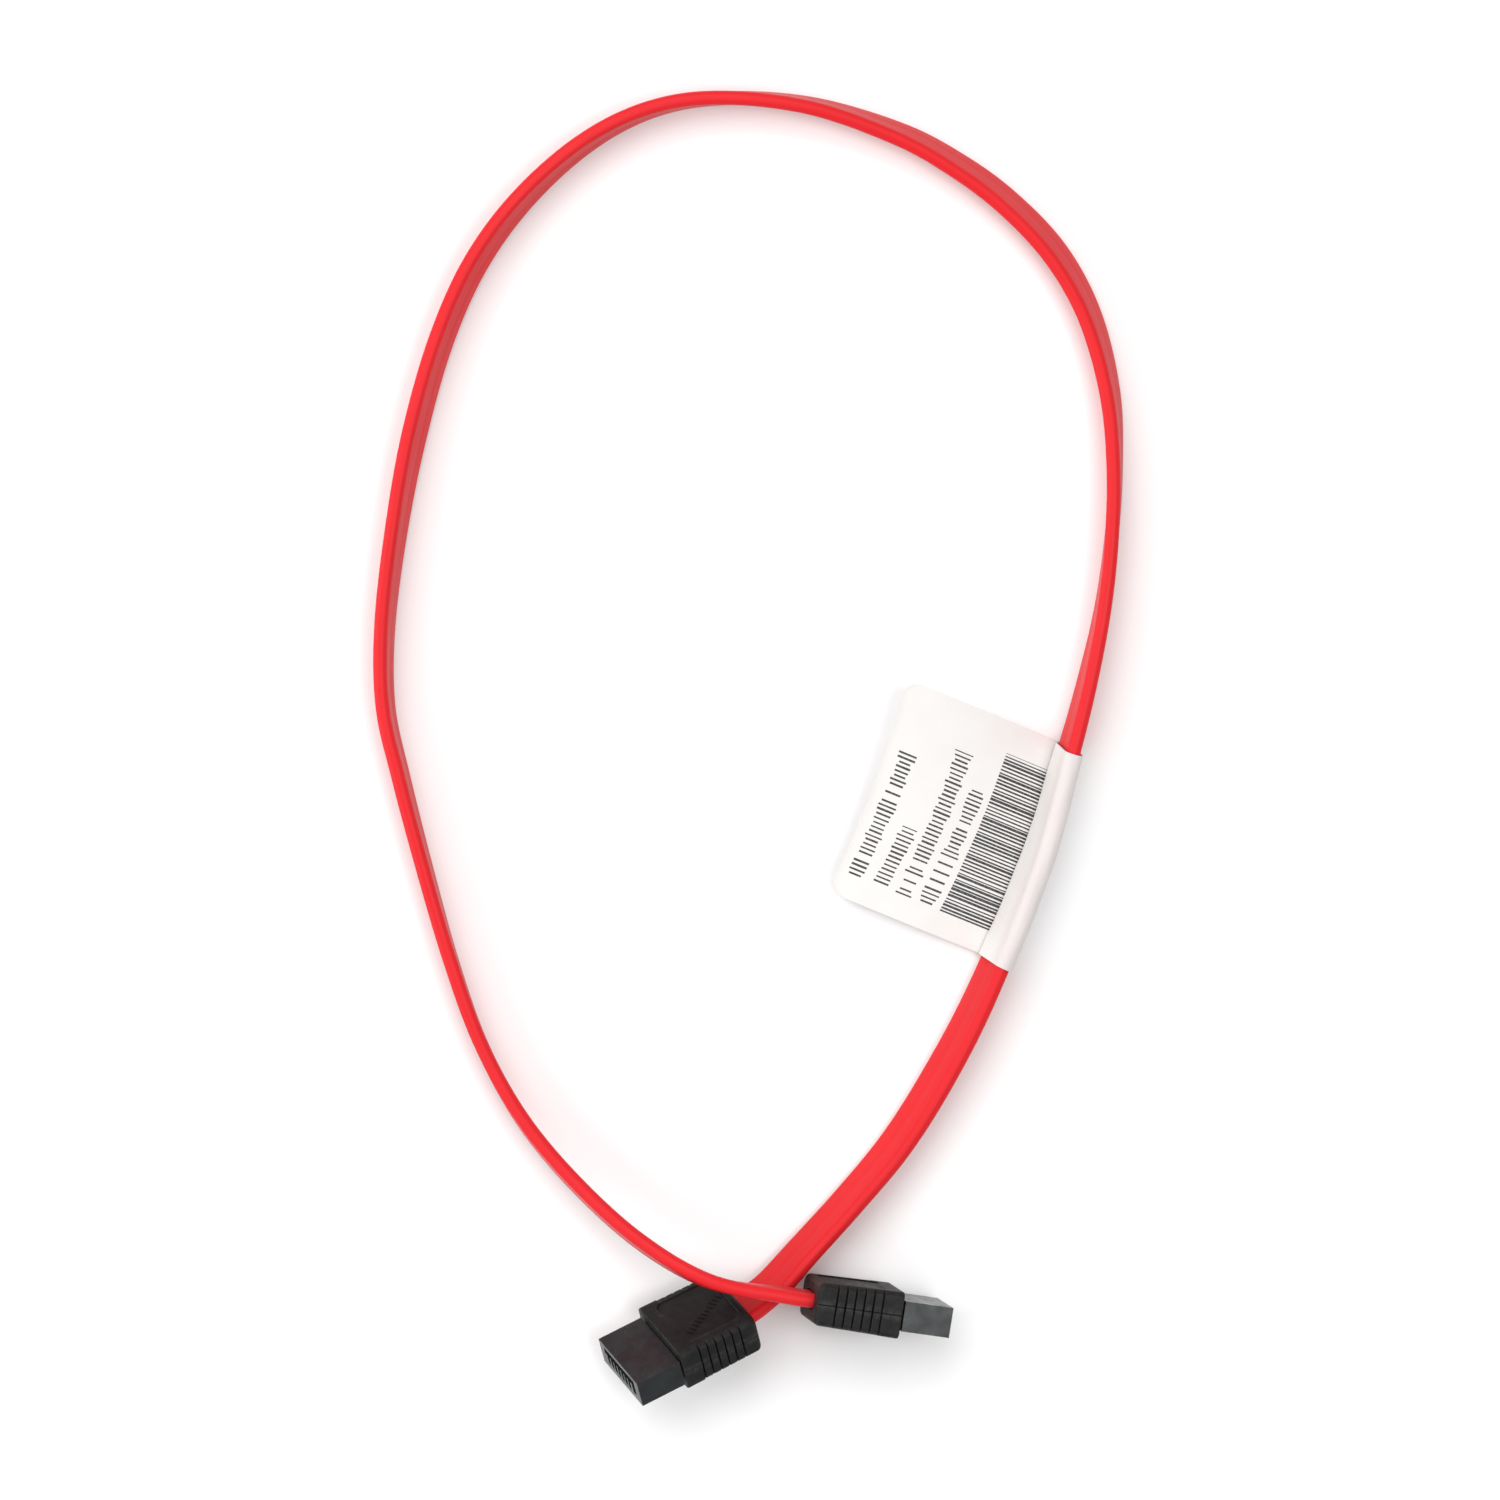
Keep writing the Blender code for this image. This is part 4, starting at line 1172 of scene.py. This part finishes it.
    def stations(self, connector):
        """Distances along the mould where its outline is set."""
        length = connector.mould_length / MM
        places = {*self.REAR_CUTS, *self.PANEL_CUTS, *(length - d for d in self.FRONT_CUTS)}
        for i in range(connector.grooves):
            middle = (connector.groove_first + i * connector.groove_pitch) / MM
            places |= {round(middle + d, 4) for d in self.GROOVE_CUTS}
        return sorted(places)

    def build(self, letter, connector, material):
        length = connector.mould_length / MM
        width = connector.mould_width / MM
        first = connector.groove_first / MM
        pitch = connector.groove_pitch / MM
        last = first + (connector.grooves - 1) * pitch
        depth = connector.groove_depth / MM
        panel_depth = connector.panel_depth / MM
        rings = []
        for x in self.stations(connector):
            thick = (connector.rear_thick + (connector.front_thick - connector.rear_thick) * x / length) / MM
            inset = self.end_inset(x, self.REAR_ROUND) + self.end_inset(length - x, self.FRONT_ROUND)
            groove = 0.0
            for i in range(connector.grooves):
                groove = max(groove, 1 - ramp_between(abs(x - first - i * pitch), *self.GROOVE_WALL))
            ribbed = 1 - ramp_between(x, last + self.RIBS_OUT[0], last + self.RIBS_OUT[1])
            in_ribs = ramp_between(x, first - self.RIBS_IN, first) * ribbed
            swell = in_ribs * self.SWELL * abs(math.sin(math.pi * (x - first) / pitch))
            cut_w, cut_n = (plain + more * ribbed for plain, more in (self.CUT_W, self.CUT_N))

            def shape(side, place):
                if side == "side":
                    seam = self.SEAM if abs(place) < 0.01 else 0.0
                    return swell * (1 - (place / self.SWELL_HALF) ** 2) - seam - groove * depth
                # The panel is a rounded rectangle; towards one narrow side and along the front its edge fades out.
                beyond_x = max(0.0, abs(x - self.PANEL_MIDDLE) - self.PANEL_HALF[0])
                beyond_w = max(0.0, abs(place) - self.PANEL_HALF[1])
                beyond = math.hypot(beyond_x, beyond_w) - self.PANEL_CORNER
                front = ramp_between(x, *self.FRONT_FADE_X) * ramp_between(place, *self.FRONT_FADE_W)
                fade = self.PANEL_EDGE + self.PANEL_FADE * max(ramp_between(place, *self.SIDE_FADE), front)
                return -panel_depth * (1 - ramp_between(beyond, -fade, self.PANEL_EDGE))

            half_w = width / 2 - inset
            half_n = thick / 2 - inset
            room = ((half_n - cut_n) / self.OUTER_ROOM[0], (half_w - cut_w) / self.OUTER_ROOM[1])
            fit = [min(1.0, share) for share in room]
            notch = groove * depth
            rings.append(self.outline(x, half_w, half_n, cut_w, cut_n, shape, self.ROUNDNESS, fit, notch))
        rings.append(self.opening(length, *self.POCKET))
        rings.append(self.opening(self.POCKET_START, *self.POCKET))
        rings.append(self.opening(self.POCKET_START, *self.HOLE))
        rings.append(self.opening(self.LIP, *self.HOLE))
        for grow in (self.LIP, self.COLLAR):
            rings.append(self.opening(0.0, *(size + grow for size in self.HOLE)))
        count = len(rings[0])
        total = len(rings)
        points = [p for ring in rings for p in ring]
        faces = walls(0, count, total)
        start = (total - 1) * count
        for i in range(count):
            j = (i + 1) % count
            faces.append((start + i, start + j, j, i))
        body_points = len(points)
        points, faces = joined([(points, faces)] + self.ticks(connector, length, panel_depth))
        piece = new_piece(f"mould_{letter}", in_mm(points), faces, material, pose_matrix(letter))
        # The ticks are given the painted shade of an inner corner.
        for item in piece.data.attributes["edge"].data[body_points:]:
            item.value = self.TICK_EDGE
        even_normals(piece)
        finish_piece(piece, f"overmould_{letter}")

    def execute(self, context):
        connector = context.scene.connector_sizes
        looks = (0.5, 0.1, 5200.0, 900.0, 0.35, 0.03, 1.25, 0.45)
        material = plastic_material("soft black moulding", connector.mould_black, *looks)
        for letter in CONNECTORS:
            self.build(letter, connector, material)
        return {"FINISHED"}


class CABLE_OT_noses(bpy.types.Operator):
    """Builds the hard nose of each connector, with its keyed slot and contact channels"""

    bl_idname = "cable.noses"
    bl_label = "Noses"

    # Width and thickness of the stem inside the overmould, where it starts, and the gap before the nose's shoulder
    STEM = (10.8, 4.0)
    STEM_START = 6.0
    SHOULDER_GAP = 0.3
    # The keyed slot's outline, across and through the nose, and its depth from the front
    SLOT = ((-5.0, 0.55), (4.9, 0.55), (4.9, -1.4), (6.0, -1.4), (6.0, 1.75), (-5.0, 1.75))
    SLOT_DEPTH = 6.8
    # A contact channel's start, half width, floor and top
    CHANNEL = (4.0, 0.4, -1.35, 0.65)
    # How far the cutters reach past the front
    CUT_PAST = 2.0
    BEVEL = 0.1 * MM
    BEVEL_FROM = math.radians(40)

    def ring(self, x, shift, width, thick):
        low = shift - width / 2
        high = shift + width / 2
        return [(x, low, -thick / 2), (x, high, -thick / 2), (x, high, thick / 2), (x, low, thick / 2)]

    def build(self, letter, connector, material):
        rear = connector.mould_length / MM
        front = rear + connector.nose_length / MM
        width = connector.nose_width / MM
        thick = connector.nose_thick / MM
        shift = connector.nose_shift / MM
        pitch = connector.contact_pitch / MM
        shoulder = rear + self.SHOULDER_GAP
        rings = [
            self.ring(self.STEM_START, 0, *self.STEM),
            self.ring(shoulder, 0, *self.STEM),
            self.ring(shoulder, shift, width, thick),
            self.ring(front, shift, width, thick),
        ]
        points, faces = solid_loft(rings)
        body = new_piece(f"nose_{letter}", in_mm(points), faces)
        past = front + self.CUT_PAST
        points, faces = solid_loft([[(x, v, u) for v, u in self.SLOT] for x in (front - self.SLOT_DEPTH, past)])
        slot = new_piece("slot", in_mm(points), faces)
        start, half, low, high = self.CHANNEL
        middles = [(i - 3) * pitch for i in range(CONTACTS)]
        points, faces = joined([box((start, w - half, low), (past, w + half, high)) for w in middles])
        channel = new_piece("channels", in_mm(points), faces)
        carve(body, slot)
        carve(body, channel)
        work = bmesh.new()
        work.from_mesh(body.data)
        bmesh.ops.remove_doubles(work, verts=work.verts, dist=0.001 * MM)
        bmesh.ops.dissolve_limit(work, angle_limit=math.radians(1), verts=work.verts, edges=work.edges)
        work.to_mesh(body.data)
        work.free()
        bevel = body.modifiers.new("soft edges", "BEVEL")
        bevel.width = self.BEVEL
        bevel.segments = 2
        bevel.limit_method = "ANGLE"
        bevel.angle_limit = self.BEVEL_FROM
        body.data.materials.append(material)
        body.data.materials.append(None)
        bevel.material = 1
        settle(body)
        mesh = body.data
        for name in ("place", "edge"):
            if name in mesh.attributes:
                mesh.attributes.remove(mesh.attributes[name])
        set_values(mesh, "place", [v.co[:] for v in mesh.vertices])
        # The bevel's faces, marked by the second material, are the rubbed edges.
        on_bevel = [float(face.material_index) for face in mesh.polygons]
        mesh.attributes.new("edge", "FLOAT", "FACE").data.foreach_set("value", on_bevel)
        mesh.polygons.foreach_set("material_index", [0] * len(on_bevel))
        mesh.materials.pop(index=1)
        mesh.shade_smooth()
        mesh.transform(pose_matrix(letter))
        even_normals(body)
        finish_piece(body, f"housing_{letter}")

    def execute(self, context):
        connector = context.scene.connector_sizes
        looks = (0.28, 0.2, 6500.0, 450.0, 0.5, 0.05, 1.25, 0.4)
        material = plastic_material("hard black nose", connector.nose_black, *looks)
        for letter in CONNECTORS:
            self.build(letter, connector, material)
        return {"FINISHED"}


class CABLE_OT_contacts(bpy.types.Operator):
    """Builds the seven plated contacts of each connector"""

    bl_idname = "cable.contacts"
    bl_label = "Contacts"

    # Width, thickness and corner radius, and the share of them that is left at each end
    STRIP = (0.6, 0.22, 0.06)
    TAPER = 0.72
    SPAN_CUTS = 5

    def execute(self, context):
        connector = context.scene.connector_sizes
        gold = metal_material("plated contact", connector.gold, 0.24, 9000.0, 0.01 * MM)
        line = [Vector((x, 0, z)) for x, z in CONTACT_LINE]
        spine = []
        for span in range(len(line) - 1):
            spine += [smooth(line, span, t / self.SPAN_CUTS) for t in range(self.SPAN_CUTS)]
        spine.append(line[-1])
        section = rounded_section(*self.STRIP, 1, 3)
        for letter in CONNECTORS:
            pose = pose_matrix(letter)
            for i in range(CONTACTS):
                across = (i - 3) * connector.contact_pitch / MM
                rings = []
                for number, centre in enumerate(spine):
                    before = spine[max(0, number - 1)]
                    after = spine[min(len(spine) - 1, number + 1)]
                    travel = (after - before).normalized()
                    upward = Vector((-travel.z, 0, travel.x))
                    taper = 1.0 if 0 < number < len(spine) - 1 else self.TAPER
                    middle = centre + Vector((0, across, 0))
                    rings.append([middle + upward * u * taper + Vector((0, v * taper, 0)) for u, v in section])
                points, faces = solid_loft(rings)
                piece = new_piece(f"pin_{letter}_{i + 1}", in_mm(points), faces, gold, pose)
                even_normals(piece)
                finish_piece(piece, f"contact_{letter}_{i + 1}")
        return {"FINISHED"}


class CABLE_OT_label(bpy.types.Operator):
    """Folds the paper label round the cable and lays its two halves together as a flag"""

    bl_idname = "cable.label"
    bl_label = "Flag label"

    # The flag's heading from +X in degrees; its slope and its slip along the cable, each at its near and far end;
    # and how strongly it arches
    HEADING = 157.7
    RISE = (0.12, 0.30)
    SKEW = (0.7 * MM, 1.5 * MM)
    CURL = 6.0
    # Cuts from the fold to the free edge, along the label, and round a free corner
    STRIPS = 22
    ROWS = 20
    CORNER_STEPS = 8
    # Creases round the cable: how many per metre along it, through it and across it, the broad ones' depth and
    # share that stands out, and the fine ones' depth and how many times finer they are
    CREASES = (170, 700, 330)
    CREASE = 0.13 * MM
    CREASE_OUT = 0.4
    FINE_CREASE = 0.04 * MM
    FINER = 3.1
    # The flag's waves: how many per metre along it and across it, their depth, and how far from the fold it is full
    WAVES = (70, 60)
    WAVE = 0.22 * MM
    WAVE_FULL = 4 * MM
    # Distance from one point to the next round the cable, as the material counts it
    WRAP_STEP = 0.7 * MM

    def places(self, label):
        """(distance along the label, how much shorter the flag is there) with round free corners."""
        turns = [math.radians(90 * i / self.CORNER_STEPS) for i in range(self.CORNER_STEPS + 1)]
        corner = [(label.corner * (1 - math.cos(a)), label.corner * (1 - math.sin(a))) for a in turns]
        inner = label.length - 2 * label.corner
        found = list(corner)
        found += [(label.corner + inner * (i + 1) / (self.ROWS + 1), 0.0) for i in range(self.ROWS)]
        found += [(label.length - a, b) for a, b in reversed(corner)]
        return found

    def execute(self, context):
        cable, _, label, _ = piece_sizes(context)
        fine = cable_stations(cable, 0.4 * MM)
        start = label.start
        grow = 2 * label.gap
        wrap = grow + 2 * label.wall
        hole = rounded_section(cable.width + grow, cable.thick + grow, label.bend - wrap / 2 + grow / 2, 8, 8)
        skin = rounded_section(cable.width + wrap, cable.thick + wrap, label.bend, 8, 8)
        count = len(skin)
        root = min(range(count), key=lambda i: skin[i][1] + skin[i][0])
        second = (root + 1) % count
        top = max(range(count), key=lambda i: skin[i][1])
        level = Vector((math.cos(math.radians(self.HEADING)), math.sin(math.radians(self.HEADING)), 0))
        rings = []
        values = []
        for along, reach_cut in self.places(label):
            after = next(i for i, s in enumerate(fine) if s[3] > start + along)
            before = fine[after - 1]
            t = (start + along - before[3]) / (fine[after][3] - before[3])
            station = [a.lerp(b, t) for a, b in zip(before[:3], fine[after][:3])]
            centre, through, wide = station
            travel = wide.cross(through)
            outer = []
            around = []
            share = along / label.length
            ends = (self.SKEW, self.RISE, (label.reach_start, label.reach_end))
            skew, rise, reach = (near * (1 - share) + far * share for near, far in ends)
            # On its way round the cable the paper slips along it: not at the top edge, by skew at the lowest one.
            slants = [skew * (0.5 - v / skin[top][1] / 2) for _, v in skin]
            for i, (u, v) in enumerate(skin):
                steps = (root - i) % count
                seed = Vector([rate * place for rate, place in zip(self.CREASES, (along, u, v))])
                crease = (noise.noise(seed) + self.CREASE_OUT) * self.CREASE
                crease += noise.noise(seed * self.FINER) * self.FINE_CREASE
                direction = (through * u + wide * v).normalized()
                point = centre + through * u + wide * v + direction * crease + travel * slants[i]
                point.z = max(point.z, 0.5 * TABLE_GAP)
                outer.append(point)
                around.append((along + slants[i], -steps * self.WRAP_STEP - 0.1 * MM, 1.0))
            inner = [point + travel * slant for point, slant in zip(ring_at(station, hole), slants)]
            base = outer[second]
            upper = []
            lower = []
            marks = []
            for i in range(1, self.STRIPS + 1):
                far = (reach - reach_cut) * i / self.STRIPS
                height = rise * far + self.CURL * far * (reach - far)
                wave = noise.noise(Vector((along * self.WAVES[0], far * self.WAVES[1], 3.0)))
                wave *= self.WAVE * min(1.0, far / self.WAVE_FULL)
                away = level * far + Vector((0, 0, height + wave)) + travel * (skew - slants[second])
                lower.append(base + away)
                upper.append(base + away + Vector((0, 0, label.flag_thick)))
                marks.append((along + skew, far))
            rings.append(outer + inner + upper + lower)
            around[root] = (along + slants[root], 0.0, 1.0)
            values += around
            values += [(along, -2 * MM - self.WRAP_STEP * i, -1.0) for i in range(count)]
            values += [(*mark, 1.0) for mark in marks]
            values += [(*mark, -1.0) for mark in marks]
        points = [p for ring in rings for p in ring]
        size = 2 * count + 2 * self.STRIPS
        flag = [root] + [2 * count + i for i in range(self.STRIPS)]
        flag += [2 * count + 2 * self.STRIPS - 1 - i for i in range(self.STRIPS)] + [second]
        faces = []
        for ring in range(len(rings) - 1):
            a = ring * size
            b = a + size
            for i in range(count):
                j = (i + 1) % count
                if i != root:
                    faces.append((a + i, a + j, b + j, b + i))
                faces.append((a + count + i, a + count + j, b + count + j, b + count + i))
            for i, j in zip(flag, flag[1:]):
                faces.append((a + i, a + j, b + j, b + i))
        for a in (0, (len(rings) - 1) * size):
            for i in range(count):
                j = (i + 1) % count
                faces.append((a + i, a + j, a + count + j, a + count + i))
            half = len(flag) // 2
            for i in range(half - 1):
                k = len(flag) - 1 - i
                faces.append((a + flag[i], a + flag[i + 1], a + flag[k - 1], a + flag[k]))
        piece = new_piece("flag", points, faces, paper_material(label), places=values)
        even_normals(piece, 50.0)
        finish_piece(piece, "flag_label")
        return {"FINISHED"}


class CABLE_PT_sidebar(bpy.types.Panel):
    """Lists the sizes, the colours and the buttons that build the cable"""

    bl_idname = "CABLE_PT_sidebar"
    bl_label = "Flat data cable"
    bl_space_type = "VIEW_3D"
    bl_region_type = "UI"
    bl_category = "Cable"

    def draw(self, context):
        layout = self.layout
        for title, sizes in zip(("Cable", "Connectors", "Label", "Stage"), piece_sizes(context)):
            part = layout.box()
            part.label(text=title)
            for name in sizes.__annotations__:
                part.prop(sizes, name)
        for operator in OPERATORS:
            layout.operator(operator.bl_idname)


OPERATORS = (
    CABLE_OT_stage,
    CABLE_OT_jacket,
    CABLE_OT_cores,
    CABLE_OT_moulds,
    CABLE_OT_noses,
    CABLE_OT_contacts,
    CABLE_OT_label,
)
GROUPS = {
    "cable_sizes": CableSizes,
    "connector_sizes": ConnectorSizes,
    "label_sizes": LabelSizes,
    "stage_sizes": StageSizes,
}


def register():
    for made in (*GROUPS.values(), *OPERATORS, CABLE_PT_sidebar):
        bpy.utils.register_class(made)
    for name, group in GROUPS.items():
        setattr(bpy.types.Scene, name, PointerProperty(type=group))


def unregister():
    for name in GROUPS:
        delattr(bpy.types.Scene, name)
    for made in reversed((*GROUPS.values(), *OPERATORS, CABLE_PT_sidebar)):
        bpy.utils.unregister_class(made)


def declare_cable():
    """Works out the jacket's stations at 3 mm steps, and does nothing more with them."""
    cable = bpy.context.scene.cable_sizes
    stations = cable_stations(cable, 3 * MM)


def main():
    register()
    for operator in OPERATORS:
        getattr(bpy.ops.cable, operator.bl_idname.split(".")[1])()
    declare_cable()


if __name__ == "__main__":
    main()
